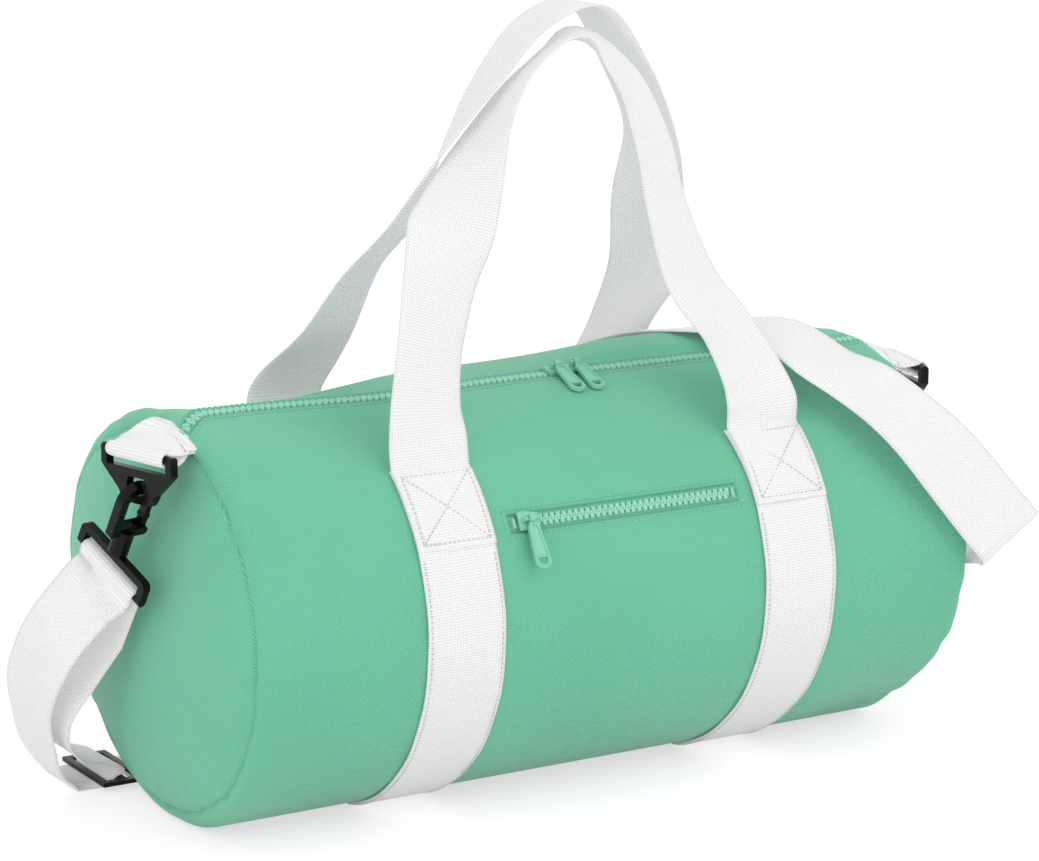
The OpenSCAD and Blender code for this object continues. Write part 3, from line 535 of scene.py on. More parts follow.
def pins(values, extra, least):
    """Values with the extra ones put in, each in place of those nearer to it than least."""
    v = list(values)
    for e in extra:
        v = [q for q in v if abs(q - e) > least] + [e]
    return np.array(sorted(v))


def arc_v(a):
    """Distance round the oval from the bottom, in millimetres."""
    t = np.linspace(-90, 270, 1441)
    p = np.stack([-HALF_DEPTH * np.cos(np.radians(t)), RISE * np.sin(np.radians(t))], 1)
    return np.interp((np.asarray(a) + 90) % 360 - 90, t, run_of(p))


def near_slot(x, a):
    """Distance outside the nearer zip slot, negative inside; the main one runs into both seams."""
    main = np.abs(wrap(a - ZIP_A) * ZIP_DEG) - SLOT_S
    pocket = np.maximum(np.abs(x - PZ_MID) - PSLOT_X, np.abs(wrap(a - PZ_A) * PZ_DEG) - PSLOT_S)
    return np.minimum(main, pocket)


# the side cloth's grid, finer at the edges of the slots and over the rounded ends
extra = [PZ_MID + s * PSLOT_X + o for s in (-1, 1) for o in (-1.6, -0.8, 0, 0.8, 1.6)]
xs = pins(np.arange(-238.0, 238.1, 2.0), extra, 0.5)
ends = HALF_LENGTH - END_ROUND * (1 - np.sin(np.radians(np.linspace(0, 90, 9))))
xs = np.array(sorted([q for q in xs if abs(q) < 229.5] + list(ends) + list(-ends)))
extra = [mid + s * (half + o) / per_deg
         for mid, half, per_deg in ((ZIP_A, SLOT_S, ZIP_DEG), (PZ_A, PSLOT_S, PZ_DEG))
         for s in (-1, 1) for o in (-1.2, -0.5, 0, 0.5, 1.2)]
aa = pins(np.arange(-90.0, 270.01, 0.75), extra, 0.18)
X, A = np.meshgrid(xs, aa, indexing="ij")
d = near_slot(X, A)
inside = d < -1e-6
# cloth turned in round the slots: a quarter round, then a wall down to the tape
fold, wall = 1.4, 3.4
curl = fold * (1 - np.sqrt(np.clip(1 - (1 - d / fold) ** 2, 0, 1)))
dip = np.where((d >= 0) & (d < fold), curl, 0)
# the row of thread pulls a groove, and the cloth puffs up between it and the slot
groove = 0.5 * np.exp(-((d - 3.0) / 0.7) ** 2)
puff = 0.5 * np.exp(-((d - 1.6) / 1.0) ** 2) * (d > 0)
P = skin(X, A, np.where(inside, -wall, -dip - groove + puff))
# the last ring turns in under the end panel
for k, sign in ((0, -1), (-1, 1)):
    P[k, :, 0] -= sign * 1.7
    P[k] += (np.array([P[k, 0, 0], 0, AXIS_Z]) - P[k]) * 0.012 * smooth((P[k, :, 2:] - 6) / 12.0)
kept = ~(inside[:-1, :-1] & inside[1:, :-1] & inside[:-1, 1:] & inside[1:, 1:])
V = arc_v(A)
V[:, -1] = V[:, -2] + (V[:, -2] - V[:, -3])
over = rounded(X)
arc_u = np.sign(X) * (HALF_LENGTH - END_ROUND + END_ROUND * np.arcsin(over))
U = np.where(over > 0, arc_u, X)
body_panel = make("body_shell", P.reshape(-1, 3), grid_faces(len(xs), len(aa), False, kept),
                  M_TWILL, "bag", np.stack([U, V], -1).reshape(-1, 2))
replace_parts(body_panel, "body_panel")


def dome(name, sign, cad):
    """Soft end panel: swells outward, with gathers running in from its seam."""
    # rings from near the middle (0) to the seam (1), closer where the gathers are fine
    share = np.concatenate([np.linspace(0.0, 0.86, 46)[1:], np.linspace(0.865, 1.0, 22)])
    ang = np.arange(-90, 270, 0.9)
    S, T = np.meshgrid(share, ang, indexing="ij")
    rim = skin(sign * HALF_LENGTH, T, 0.0)
    mid = np.array([sign * HALF_LENGTH, 0.0, AXIS_Z])
    p = mid + (rim - mid) * S[..., None]
    depth = (END_BULGE + 2.5) * (1 - S ** 3.0) * (1 + (1 - S) * 0.1)
    # pressed in behind the hanging hook
    press = np.exp(-((p[..., 1] + 26) / 44) ** 2 - ((p[..., 2] - 162) / 50) ** 2)
    depth = depth - (8.5 if sign < 0 else 6.5) * press
    # rounds over at the seam, like a pillow's edge
    depth = depth + 1.6 * smooth((1 - S) / 0.07) - 1.9 * np.exp(-((1 - S) / 0.009) ** 2)
    pucker = gather(T, 0.0 if sign < 0 else RIGHT_SHIFT) * np.exp(-(1 - S) * 9.0) * 0.9
    pucker = pucker + gather(T * 0.5 + 40, 2.0) * np.exp(-(1 - S) * 3.4) * 0.9
    pucker = pucker * (1 - smooth((S - 0.985) / 0.015) * 0.7)
    slump = -3.5 * np.exp(-((T - 90) / 30) ** 2) * np.exp(-((S - 0.7) / 0.2) ** 2)
    low = smooth((p[..., 2] - BASE_Z) / 14.0)
    p[..., 0] = p[..., 0] + sign * (depth + (pucker + slump) * low)
    p[..., 2] = np.maximum(p[..., 2], BASE_Z)
    # the edge tucks in under the side cloth
    tuck = skin(sign * (HALF_LENGTH - 2.5), ang, -2.2)
    tuck[:, 2] = np.maximum(tuck[:, 2], BASE_Z + 0.5)
    p = np.concatenate([p, tuck[None]])
    pts = np.concatenate([p.reshape(-1, 3), p[0].mean(0)[None]])
    n, m = p.shape[:2]
    faces = [tuple(f) for f in grid_faces(n, m, True)]
    faces += [(n * m, (j + 1) % m, j) for j in range(m)]
    if sign > 0:
        faces = [f[::-1] for f in faces]
    uv = pts[:, 1:3] * np.array([sign, 1.0])
    ob = make(name, pts, faces, M_TWILL, "bag", uv)
    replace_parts(ob, cad)


dome("end_shell_left", -1, "end_panel_left")
dome("end_shell_right", 1, "end_panel_right")


def binding(name, sign, cad):
    """Bias binding folded over the raw edges of the end seam, inside the bag."""
    ang = np.arange(-90, 270, 1.5)
    # its section: place along the bag and outwards
    prof = [(-1.0, 0.0), (-1.3, -3.0), (-1.0, -8.5), (0.0, -9.4),
            (1.0, -8.5), (1.3, -3.0), (1.0, 0.0), (0.0, 0.6)]
    p = skin(sign * (HALF_LENGTH - 3.4), ang, -3.6)
    radial = unit((p - np.array([0, 0, AXIS_Z])) * np.array([0, 1, 1]))
    ripple = radial * 0.12 * np.sin(np.radians(ang * 40))[:, None]
    loops = []
    for dx, dl in prof:
        q = p + radial * dl + np.array([sign * dx, 0, 0]) + ripple
        q[:, 2] = np.maximum(q[:, 2], BASE_Z + 1.7)
        loops.append(q)
    loops = np.stack(loops + [loops[0]])
    u, v = np.arange(len(loops)) * 2.4, np.arange(len(ang)) * 3.3
    uv = np.stack(np.broadcast_arrays(u[:, None], v[None, :]), -1)
    ob = make(name, loops.reshape(-1, 3), grid_faces(len(loops), len(ang), True), M_TAPE, "bag",
              uv.reshape(-1, 2))
    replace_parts(ob, cad)


binding("binding_left", -1, "seam_binding_left")
binding("binding_right", 1, "seam_binding_right")

# the pocket's own bag, hanging slack behind its zip
ROWS, COLUMNS, POCKET_X = 48, 40, 92.0
i, j = np.meshgrid(np.arange(ROWS + 1), np.arange(COLUMNS + 1), indexing="ij")
top_a, foot_a = PZ_A + PSLOT_S / PZ_DEG * 3, -42.0
swell = (np.minimum(1, np.sin(np.pi * i / ROWS) * 2.2)
         * np.minimum(1, np.sin(np.pi * j / COLUMNS) * 2.2))
# place along, angle and depth of the bag's inner side
la = top_a - (top_a - foot_a) * i / ROWS
lx = POCKET_X * (1 - j / (COLUMNS / 2))
ll = -FABRIC - SEAT - POCKET_DEEP * swell - 0.4 + 0.8 * swell * np.sin(j * 0.9 + i * 0.35)
pocket_bag = make("pocket_bag", skin(lx, la, ll).reshape(-1, 3),
                  grid_faces(ROWS + 1, COLUMNS + 1)[:, ::-1], M_LINING, "bag",
                  np.stack([lx, la * 2.16], -1).reshape(-1, 2))
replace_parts(pocket_bag, "pocket_lining")


# ---------------------------------------------------------------- zips
def walls(n, levels):
    """Side faces of a stack of levels + 1 outlines of n points each, running anticlockwise."""
    return [(k * n + q, k * n + (q + 1) % n, (k + 1) * n + (q + 1) % n, (k + 1) * n + q)
            for k in range(levels) for q in range(n)]


def tooth_shape():
    """A moulded tooth with rounded top edges, seen from above: foot, neck and wider head."""
    reach, root, high = 1.4, 2.6, 2.1
    nk, hd, ft = PITCH * 0.19, PITCH * 0.235, PITCH * 0.34
    left = [(-ft, -root - 0.7), (-ft, -1.1), (-nk, -0.3), (-hd, reach * 0.35),
            (-hd, reach * 0.8), (-nk, reach)]
    c = np.array(left + [(-x, y) for x, y in left[::-1]])
    mid = c.mean(0)
    v = [(x, y, 0.0) for x, y in c] + [(x, y, high - 0.45) for x, y in c]
    v += [(mid[0] + (x - mid[0]) * 0.78, mid[1] + (y - mid[1]) * 0.9, high) for x, y in c]
    n = len(c)
    # the outline runs clockwise
    f = [g[::-1] for g in walls(n, 2)]
    top = [2 * n + q for q in range(n)]
    for q in range(n // 2 - 1):
        f.append((top[q], top[q + 1], top[n - 2 - q], top[n - 1 - q])[::-1])
    return np.array(v), f


def along(s):
    """Place x of a point that lies s from the middle along the barrel and over its rounded end."""
    s = np.asarray(s, float)
    over = np.clip(np.abs(s) - HALF_LENGTH + END_ROUND, 0, END_ROUND * math.pi / 2)
    flat = np.minimum(np.abs(s), HALF_LENGTH - END_ROUND)
    return np.sign(s) * (flat + END_ROUND * np.sin(over / END_ROUND))


def chain_axes(s, angle, lift):
    """Directions along and across a zip, at places s along it."""
    x = along(s)
    return (unit(skin(along(s + 0.5), angle, lift) - skin(along(s - 0.5), angle, lift)),
            unit(skin(x, angle + 0.5, lift) - skin(x, angle - 0.5, lift)))


def zip_pieces(tag, x_mid, angle, half, per_deg, wide, cads):
    """Tape and teeth of both rows; cads are the solids of the front and the rear one."""
    tape_end = half + 8.0
    x = np.arange(x_mid - tape_end, x_mid + tape_end + 0.01, 2.0)
    x = along(np.clip(x, -245.6, 245.6))
    s = np.array([0.05, 0.9, 1.5, 2.6, 4.4, 4.9, 6.5, 8.5, 10.5, 12.5, 15.0])
    s = s[s <= wide + 0.9]
    cord = np.where((s > 2.4) & (s < 4.6), 0.7, 0.0)
    XX, SS = np.meshgrid(x, s, indexing="ij")
    count = int(half * 2 / PITCH)
    for side, shift, row, cad in ((-1, 0.0, "front", cads[0]), (1, 0.5, "rear", cads[1])):
        top = skin(XX, angle + side * SS / per_deg, ZIP_LOW + 0.5 + cord[None, :])
        f = grid_faces(len(x), len(s))
        ob = make(f"{tag}_tape_{row}", top.reshape(-1, 3), f if side > 0 else f[:, ::-1], M_TAPE,
                  "bag", np.stack([SS, XX], -1).reshape(-1, 2))
        ts = x_mid - count * PITCH / 2 + PITCH * (0.25 + shift) + PITCH * np.arange(count)
        ex, ey = chain_axes(ts, angle, ZIP_LOW)
        nrm = unit(np.cross(ex, ey))
        v, tf = tooth_shape()
        if side > 0:
            v = v * np.array([1, -1, 1])
            tf = [g[::-1] for g in tf]
        teeth = scatter(f"{tag}_teeth_{row}", v, tf, skin(along(ts), angle, ZIP_LOW + 0.5),
                        np.stack([ex, np.cross(nrm, ex), nrm], 1), M_TEETH)
        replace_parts(teeth, cad)
        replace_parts(ob, cad)


zip_pieces("main_zip", 0.0, ZIP_A, ZIP_HALF, ZIP_DEG, 15.0, ("main_zip_front", "main_zip_rear"))
zip_pieces("pocket_zip", PZ_MID, PZ_A, PZ_HALF, PZ_DEG, 9.2,
           ("pocket_zip_lower", "pocket_zip_upper"))


def end_stops(name, x_mid, half, angle, cad):
    """Moulded stop across both rows at each end of a zip."""
    ends = np.array([x_mid - half - 1.6, x_mid + half + 1.6])
    v = [(x * (1.2 - 0.3 * (z > 1)), y * (3.4 - 0.3 * (z > 1)), z) for z in (-0.3, 1.7, 2.2)
         for x, y in ((-1, -1), (1, -1), (1, 1), (-1, 1))]
    f = walls(4, 2) + [(8, 9, 10, 11)]
    ex, ey = chain_axes(ends, angle, 0)
    ob = scatter(name, np.array(v), f, skin(along(ends), angle, ZIP_LOW + 0.5),
                 np.stack([ex, ey, np.cross(ex, ey)], 1), M_TEETH)
    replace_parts(ob, cad)


end_stops("main_stops", 0.0, ZIP_HALF, ZIP_A, "main_zip_stops")
end_stops("pocket_stops", PZ_MID, PZ_HALF, PZ_A, "pocket_zip_stops")


def on_skin(x, a, lift):
    """Points and normals on the cloth, for thread."""
    x, a = np.broadcast_arrays(np.asarray(x, float), np.asarray(a, float))
    return skin(x, a, lift), np.broadcast_to(normal(a), x.shape + (3,))


def box_line(x0, x1, a0, a1, lift):
    """Closed rectangle of thread on the barrel."""
    def side(p, q):
        return np.linspace(p, q, 60)

    x = np.concatenate([side(x0, x1), side(x1, x1), side(x1, x0), side(x0, x0)])
    a = np.concatenate([side(a0, a0), side(a0, a1), side(a1, a1), side(a1, a0)])
    return on_skin(x, a, lift)


# rows of thread beside the slots
SEW_OFF, SEW_LIFT, POCKET_SEAM = 3.0, 0.1, 88.0
off = (SLOT_S + SEW_OFF) / ZIP_DEG
edge = along(np.linspace(-244, 244, 420))
stitches("zip_stitching", [on_skin(edge, ZIP_A + side * off, SEW_LIFT) for side in (-1, 1)],
         M_THREAD)
off = PSLOT_S + SEW_OFF
lines = [box_line(-POCKET_SEAM, POCKET_SEAM, PZ_A - off / PZ_DEG, PZ_A + off / PZ_DEG, SEW_LIFT)]
lines += [on_skin(np.full(12, PZ_MID + side * (PSLOT_X + SEW_OFF)),
                  np.linspace(-off, off, 12) / PZ_DEG + PZ_A, SEW_LIFT) for side in (-1, 1)]
stitches("pocket_stitching", lines, M_THREAD)


# ---------------------------------------------------------------- bands and sewn handle ends
def band(name, x_mid):
    """Webbing laid under the bag from the front fold to the rear one."""
    lo, hi = SEAT, 2.3
    a = np.linspace(FOLD_A, -180 - FOLD_A, int((180 + 2 * FOLD_A) / 1.2) + 1)
    u, h = section(16)
    U, AA = np.meshgrid(u, a)
    rise = 0.25 * np.sin(AA * 0.31) * np.abs(U) ** 3
    P = skin(x_mid + U * WEB / 2, AA, (lo + hi) / 2 + h * (hi - lo) / 2 + rise)
    run = run_of(skin(x_mid, a, lo))
    uv = np.stack(np.broadcast_arrays((u * WEB / 2)[None, :], run[:, None]), -1)
    return loft(name, P, uv, "bag")


lines = []
# half width of the box of thread, and the height of the handles' sewn ends
w, SEWN_TOP = WEB / 2 - 3.5, 4.35
for tag, bx in (("left", -BAND_X), ("right", BAND_X)):
    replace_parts(band(f"band_web_{tag}", bx), f"band_{tag}")
    x = np.linspace(bx - w, bx + w, 40)
    for b0, b1 in ((SEWN_A + 1.6, FOLD_A - 3.0), (180 - FOLD_A + 3.0, 180 - SEWN_A - 1.6)):
        lines += [box_line(bx - w, bx + w, b0, b1, SEWN_TOP),
                  on_skin(x, np.linspace(b0, b1, 40), 4.38),
                  on_skin(x, np.linspace(b1, b0, 40), 4.4)]
    ang = np.linspace(SEWN_A - 2, -180 - SEWN_A + 2, 260)
    lines += [on_skin(bx + side * (WEB / 2 - 2.2), ang, 2.34) for side in (-1, 1)]
stitches("band_stitching", lines, M_WHITE, 3.0, 2.2, 0.6)

# ---------------------------------------------------------------- handles
# rows of x, y and height, as shares of the folds' place and the rise, and of quarter turns
FRONT = [
    [-1, -1, 0, 0], [-1, -0.965, 0.04, 0], [-0.992, -0.925, 0.128, 0.12],
    [-0.925, -0.85, 0.276, 0.16],
    [-0.794, -0.723, 0.445, 0.01], [-0.627, -0.577, 0.566, -0.608], [-0.429, -0.457, 0.705, -1.021],
    [-0.189, -0.407, 0.836, -1.266], [0.125, -0.413, 0.915, -1.419], [0.399, -0.454, 0.818, -1.536],
    [0.544, -0.507, 0.665, -1.622], [0.611, -0.568, 0.497, -1.673], [0.718, -0.645, 0.333, -1.765],
    [0.885, -0.745, 0.215, -1.8], [0.975, -0.875, 0.11, -1.9], [1, -0.965, 0.04, -2],
    [1, -1, 0, -2]]
REAR = [
    [-1, 1, 0, 0], [-1, 0.955, 0.04, 0], [-0.945, 0.8, 0.12, 0.05], [-0.92, 0.494, 0.225, 0.259],
    [-0.857, 0.219, 0.364, 0.381], [-0.694, -0.016, 0.493, 0.434], [-0.518, -0.112, 0.656, 0.651],
    [-0.288, -0.147, 0.807, 0.845], [0.008, -0.11, 0.94, 0.908], [0.364, -0.059, 0.979, 0.981],
    [0.634, -0.006, 0.828, 1.05], [0.834, 0.064, 0.648, 1.063], [0.912, 0.231, 0.475, 1.327],
    [1.023, 0.442, 0.309, 1.702], [1.025, 0.76, 0.15, 1.98], [1, 0.955, 0.04, 2], [1, 1, 0, 2]]


def handle_rows(shares):
    """Rows of place and width direction of a handle."""
    s = np.array(shares)
    q = np.radians(90 * s[:, 3])
    return np.stack([s[:, 0] * BAND_X, s[:, 1] * FOLD_Y, FOLD_Z + s[:, 2] * HANDLE_RISE,
                     np.cos(q), np.sin(q), 0 * q], 1)


for tag, shares, y in (("front", FRONT, -FOLD_Y), ("rear", REAR, FOLD_Y)):
    free = handle_rows(shares)[1:-1]
    a = np.arange(SEWN_A, FOLD_A - 0.5, 2.6)
    if tag == "rear":
        a = 180 - a
    # the sewn ends lie on the bands, with the width direction of the row next to them
    ends = [np.concatenate([skin(sign * BAND_X, a, 3.3), np.repeat([row[3:]], len(a), 0)], 1)
            for sign, row in ((-1, free[0]), (1, free[-1]))]
    rows = spline(np.concatenate([ends[0], free, ends[1][::-1]]), 8)
    ob, length = ribbon(f"handle_web_{tag}", frames_of(rows), None, cells=18)
    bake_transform(ob)
    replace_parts(ob, f"handle_{tag}")
    print("handle", tag, "length", round(length, 1))

# ---------------------------------------------------------------- hardware frames and tabs
cr, sr = math.cos(math.radians(RING_TURN)), math.sin(math.radians(RING_TURN))
ch, sh = math.cos(math.radians(HOOK_LEAN)), math.sin(math.radians(HOOK_LEAN))


def from_ring(p, side, place=True):
    """Places, or directions, given from the ring's bar; side is -1 left and 1 right."""
    p = np.asarray(p, float)
    q = np.stack([p[..., 0] * cr - p[..., 1] * sr, p[..., 0] * sr + p[..., 1] * cr, p[..., 2]], -1)
    if place:
        q = q + np.array([-RING_OUT, RING_Y, RING_Z])
    return q * np.array([1.0 if side < 0 else -1.0, 1, 1])


def from_hook(p, side, place=True):
    """Places, or directions, given from the ring's eye, in line with the leaning hook."""
    p = np.asarray(p, float)
    q = np.stack([p[..., 0], p[..., 1] * ch - p[..., 2] * sh, p[..., 1] * sh + p[..., 2] * ch], -1)
    if place:
        q = q + np.array([0, 0, -EYE_DROP])
    return from_ring(q, side, place)


tab_t = WEB_T * 0.75
reach = (RING_OUT - HALF_LENGTH - 0.9) / cr
root = AXIS_Z + RISE - END_ROUND - RING_Z + tab_t / 2 + 0.3
tan = sr / cr
# upper leaf from inside the seam, round the ring's bar, and back as the lower leaf
tab_rows = [[reach + 6, 0, root, sr, cr, 0], [reach, 0, root, sr, cr, 0],
            [reach * .75, reach * .25 * tan, root * .95, sr, cr, 0],
            [reach * .5, reach * .1 * tan, root * .8, 0, 1, 0],
            [reach * .3, 0, root * .6, 0, 1, 0]]
tab_rows += [[TAB_WRAP * math.cos(t), 0, TAB_WRAP * math.sin(t), 0, 1, 0]
             for t in map(math.radians, range(60, 301, 30))]
tab_rows += [[reach * .3, 0, .2, 0, 1, 0],
             [reach * .75, reach * .25 * tan, root - tab_t * 1.6, sr, cr, 0],
             [reach, 0, root - tab_t * 1.2, sr, cr, 0],
             [reach + 6, 0, root - tab_t * 1.2, sr, cr, 0]]
for tag, side in (("left", -1), ("right", 1)):
    r = spline(tab_rows, 5)
    rows = np.concatenate([from_ring(r[:, :3], side), from_ring(r[:, 3:], side, False)], 1)
    ob, _ = ribbon(f"tab_web_{tag}", frames_of(rows), "bag", thick=tab_t, cells=16)
    me = ob.data
    v = np.empty(len(me.vertices) * 3)
    me.vertices.foreach_get("co", v)
    v = v.reshape(-1, 3) / MM
    # near the seam both leaves follow the fall of the end's edge to the front
    share = smooth((RING_OUT - 4 - np.abs(v[:, 0])) / 18.0)
    fall = np.sqrt(np.maximum(1 - (v[:, 1] / (HALF_DEPTH - END_ROUND)) ** 2, 0))
    flat = math.sqrt(1 - (RING_Y / (HALF_DEPTH - END_ROUND)) ** 2)
    v[:, 2] += share * (RISE - END_ROUND) * (fall - flat)
    me.vertices.foreach_set("co", (v * MM).ravel())
    me.update()
    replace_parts(ob, f"tab_{tag}")

# ---------------------------------------------------------------- shoulder strap
# rows of place, in shares of WHOLE, and width direction: from the free end up to the left base,
# from there down to the adjuster, and from it behind and over the bag to the right base
TAIL = [
    [-0.99, 0.71, 0.044, 0, -1, 0], [-1.099, 0.677, 0.092, 0, -1, 0],
    [-1.181, 0.508, 0.185, 0.03, -1, -0.06], [-1.206, 0.354, 0.28, 0.08, -0.97, -0.16],
    [-1.18, 0.231, 0.377, 0.14, -0.92, -0.3], [-1.135, 0.123, 0.487, 0.18, -0.88, -0.42]]
DOWN = [
    [-1.181, 0.023, 0.579, 0.18, -0.88, -0.42], [-1.255, 0.138, 0.459, 0.14, -0.9, -0.34],
    [-1.262, 0.354, 0.308, 0.08, -0.95, -0.22], [-1.201, 0.585, 0.152, 0.03, -1, -0.1],
    [-1.155, 0.69, 0.066, 0, -1, -0.03], [-1.105, 0.71, 0.0056, 0, -1, 0]]
AWAY = [
    [-0.93, 0.71, 0.0056, 0, -1, 0], [-0.6, 0.76, 0.0056, 0, -1, 0],
    [-0.25, 0.98, 0.007, 0.05, -1, 0], [0, 1.16, 0.06, 0.45, -0.85, 0],
    [0.13, 1.15, 0.22, 0.85, -0.5, 0], [0.17, 1.06, 0.5, 1, 0, 0],
    [0.17, 0.99, 0.72, 1, 0.05, 0], [0.205, 0.8, 0.85, 0.97, 0.2, -0.1],
    [0.29, 0.6, 0.92, 0.7, 0.66, -0.4], [0.492, 0.39, 0.998, 0.5, 0.8, -0.33],
    [0.65, -0.2, 1.056, 0.8, 0.55, 0.1],
    [0.713, -0.6, 0.984, 1, 0.15, 0.1], [0.803, -0.8, 0.912, 1, 0.05, 0.1],
    [0.897, -0.977, 0.796, 1, 0, 0.12], [1.035, -1.1, 0.612, 1, 0.05, 0.55],
    [1.065, -1.125, 0.574, 1, 0.05, 0.6], [1.082, -1.115, 0.551, 1, 0.05, 0.6],
    [1.092, -1.02, 0.541, 1, 0.08, 0.58], [1.145, -0.75, 0.497, 1, 0.1, 0.4],
    [1.21, -0.44, 0.43, 1, 0.35, 0.15], [1.244, -0.217, 0.375, 0.84, 0.52, 0.12],
    [1.234, 0.003, 0.385, 0.55, 0.78, 0.3], [1.184, 0.068, 0.49, 0.22, 0.86, 0.46]]
ADJ_X, ADJ_Y = -0.99 * HALF_LENGTH, 0.71 * HALF_DEPTH


def shares_to(rows):
    """The same rows with their places in millimetres."""
    r = np.array(rows, float)
    r[:, :3] = r[:, :3] * np.array(WHOLE)
    return r


def hook_row(x, z, side):
    """Row of the strap at a place given in line with the hook."""
    p, w = from_hook([x, 0, z], side), from_hook([0, -1, 0], side, False)
    return [*p, *w]


def wrap_rows(angles, side, flip):
    """The strap's turn over the base's bar, with a straight row below it at each end."""
    turn = [math.radians(t) for t in angles]
    below = -BAR_MID - BASE_BAR * 1.5
    rows = [hook_row(STRAP_WRAP * math.cos(t), -BAR_MID + STRAP_WRAP * math.sin(t), side)
            for t in turn]
    first, last = (hook_row(STRAP_WRAP * np.sign(math.cos(t)), below, side)
                   for t in (turn[0], turn[-1]))
    rows = np.array([first, *rows, last])
    rows[:, 3:] *= flip
    return rows


# under the adjuster's frame and over its middle bar
STRAP_FLOOR, ADJ_LOW, ADJ_T = 1.3, 2.6, 2.6
OVER_BAR = ADJ_LOW + ADJ_T + WEB_T / 2 + SEAT * 2
hump = [[ADJ_X + dx, ADJ_Y, z, 0, -1, 0]
        for dx, z in ((-10, STRAP_FLOOR), (-2.8, OVER_BAR), (2.8, OVER_BAR), (10, STRAP_FLOOR))]
parts = [spline(shares_to(TAIL), 8), spline(wrap_rows(range(0, 181, 30), -1, 1.0), 3),
         spline(shares_to(DOWN), 8), spline(hump, 5),
         spline(shares_to(AWAY), 8), spline(wrap_rows(range(180, -1, -30), 1, -1.0), 3)]
whole = np.concatenate(parts)
marks = np.cumsum([0] + [len(p) for p in parts])
total = run_of(whole[:, :3])
whole = frames_of(whole)
print("shoulder strap length", round(total[-1], 1))


def chain_cuts(i0, i1, outward):
    """Row numbers that share the strap next to a base among the bodies it hangs from."""
    cuts, i = [i0], i0
    for need in (18.0, 34.0, 34.0, 34.0):  # millimetres on the base, then across each joint
        j = i
        while abs(total[j] - total[i]) < need and j != i1:
            j += outward
        cuts.append(j)
        i = j
    return cuts


def strap_piece(name, i, j, bodies):
    """Rows i to j of the strap, on one body, or, given two bodies, on none of them."""
    lo, hi = min(i, j), max(i, j)
    one = isinstance(bodies, str)
    ob, _ = ribbon(name, whole[lo:hi + 1], bodies if one else None, v0=total[lo],
                   caps=(lo == 0, hi == len(whole) - 1))
    if not one:
        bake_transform(ob)
    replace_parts(ob, "shoulder_strap")


def chain_pieces(tag, side_name, i0, i1, outward):
    """Strap between a base and the bag; gives its nearest and its farthest row."""
    c = chain_cuts(i0, i1, outward)
    ring, hook, base = f"ring_{side_name}", f"hook_{side_name}", f"swivel_base_{side_name}"
    strap_piece(f"strap_{tag}_c", c[2], c[1], (hook, base))
    strap_piece(f"strap_{tag}_b", c[3], c[2], (ring, hook))
    strap_piece(f"strap_{tag}_a", c[4], c[3], ("bag", ring))
    return c[1], c[4]


w0, w1 = marks[1], marks[2] - 1
tail_hold, tail_far = chain_pieces("tail", "left", w0, marks[0], -1)
down_hold, down_far = chain_pieces("down", "left", w1, marks[3] - 1, 1)
right_hold, right_far = chain_pieces("right", "right", marks[5], marks[4], -1)
strap_piece("strap_wrap_left", tail_hold, down_hold, "swivel_base_left")
strap_piece("strap_wrap_right", right_hold, len(whole) - 1, "swivel_base_right")
strap_piece("strap_tail", 0, tail_far, "bag")
strap_piece("strap_main", down_far, right_far, "bag")


# ---------------------------------------------------------------- pullers
def slab(loops, low, high):
    """Plate between two heights: outline loops[0], holes after it, no points shared by faces."""
    v, f = [], []
    flat = [q for loop in loops for q in loop]
    tri = tessellate_polygon([[Vector((x, y, 0)) for x, y in loop] for loop in loops])
    for z, up in ((high, True), (low, False)):
        base = len(v)
        v += [(x, y, z) for x, y in flat]
        for t in tri:
            a, b, c = (Vector((*flat[k], 0)) for k in t)
            turn = (b - a).cross(c - a).z > 0
            f.append(tuple(base + k for k in (t if turn == up else t[::-1])))
    for k, loop in enumerate(loops):
        area = sum(a[0] * b[1] - b[0] * a[1] for a, b in zip(loop, loop[1:] + loop[:1]))
        base, n = len(v), len(loop)
        v += [(x, y, low) for x, y in loop] + [(x, y, high) for x, y in loop]
        for q in range(n):
            g = (base + q, base + (q + 1) % n, base + n + (q + 1) % n, base + n + q)
            f.append(g if (area > 0) == (k == 0) else g[::-1])
    return v, f


def tongue(grow):
    """Outline of the finger plate along -y from the pin, nearly parallel, with a round foot."""
    out = [(-2.4 + grow, -3.2 - grow), (-3.5 + grow, -5.5 - grow), (-4.9 + grow, -24.9)]
    out += [(-(4.9 - grow) * math.cos(t), -24.9 - (5.1 - grow) * math.sin(t) ** 0.85)
            for t in np.radians(np.arange(12, 169, 12))]
    return out + [(4.9 - grow, -24.9), (3.5 - grow, -5.5 - grow), (2.4 - grow, -3.2 - grow)]


def d_shape(grow):
    """Outline of the hole in the finger plate."""
    arc = [((3.1 + grow) * math.cos(t), -24.4 - (3.5 + grow) * math.sin(t))
           for t in np.radians(np.arange(0, 181, 15))]
    return [(-3.1 - grow, -23.6 + grow), (3.1 + grow, -23.6 + grow)] + arc


def turn_x(v, angle):
    c, q = math.cos(angle), math.sin(angle)
    return np.stack([v[:, 0], v[:, 1] * c - v[:, 2] * q, v[:, 1] * q + v[:, 2] * c], 1)


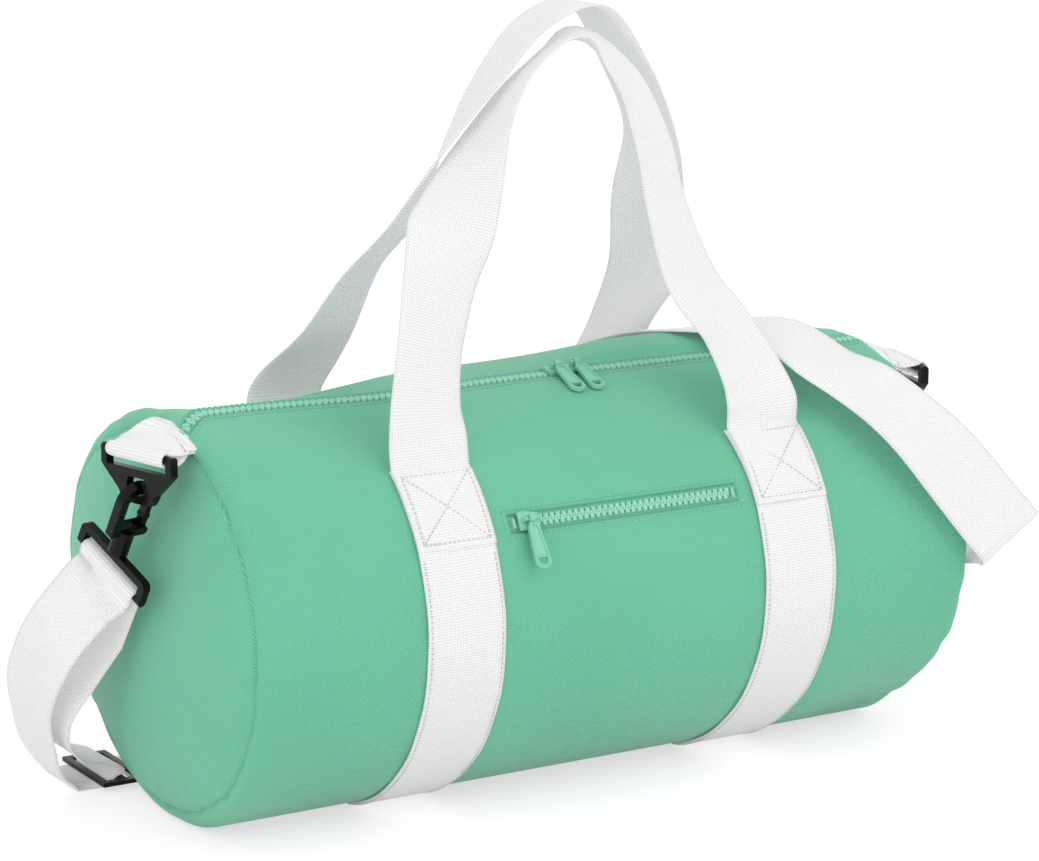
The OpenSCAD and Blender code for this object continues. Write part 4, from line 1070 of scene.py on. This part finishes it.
def tube(inner, outer, half):
    """Ring of the puller, with its bore along x."""
    v, f, n = [], [], 28
    for x, r in ((-half, inner), (-half, outer), (half, outer), (half, inner)):
        v += [(x, r * math.cos(2 * math.pi * k / n), r * math.sin(2 * math.pi * k / n))
              for k in range(n)]
    for i in range(4):
        a, b = i * n, (i + 1) % 4 * n
        f += [(a + k, b + k, b + (k + 1) % n, a + (k + 1) % n) for k in range(n)]
    return v, f


def puller(name, x, angle, dip):
    """Finger plate with its rims, neck and ring, hung at x and drooping by dip degrees."""
    half_t, rim_t = 0.8, 1.45
    neck = [(-1.7, -1.6), (-2.4, -3.6), (2.4, -3.6), (1.7, -1.6)]
    bits = [slab([tongue(0), d_shape(0)], -half_t, half_t),
            slab([tongue(0), tongue(1.1)], half_t, rim_t),
            slab([d_shape(0.9), d_shape(0)], half_t, rim_t),
            tube(1.4, 2.3, 1.7), slab([neck], -half_t, half_t)]
    v, f = [], []
    for bv, bf in bits:
        f += [tuple(len(v) + k for k in g) for g in bf]
        v += bv
    v = turn_x(np.array(v), math.radians(dip))
    v[:, 2] += PIN_Z
    r = math.radians(angle)
    v = turn_x(v, math.atan2(math.cos(r) / HALF_DEPTH, math.sin(r) / RISE))
    v += np.array([x, -HALF_DEPTH * math.cos(r), AXIS_Z])
    v[:, 2] += RISE * math.sin(r)
    ob = make(f"{name}_plate", v, f, M_PULL, name, v[:, :2])
    ob.data.polygons.foreach_set("use_smooth", [False] * len(f))
    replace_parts(ob, name)


puller("main_puller_left", 11.5, ZIP_A, 14.0)
puller("main_puller_right", 25.1, ZIP_A, 14.0)
puller("pocket_puller", PZ_MID - PZ_HALF + 6.8, PZ_A, 0.0)

# ---------------------------------------------------------------- rigid CAD pieces keep their shape
MOULDED = [f"{part}_{side}" for part in ("ring", "hook", "gate", "swivel_base")
           for side in ("left", "right")] + ["slide_adjuster"]
SLIDERS = ["main_slider_left", "main_slider_right", "pocket_slider"]
for mat, names in ((M_BLACK, MOULDED), (M_PULL, SLIDERS)):
    for name in names:
        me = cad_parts[name].data
        me.materials.clear()
        me.materials.append(mat)
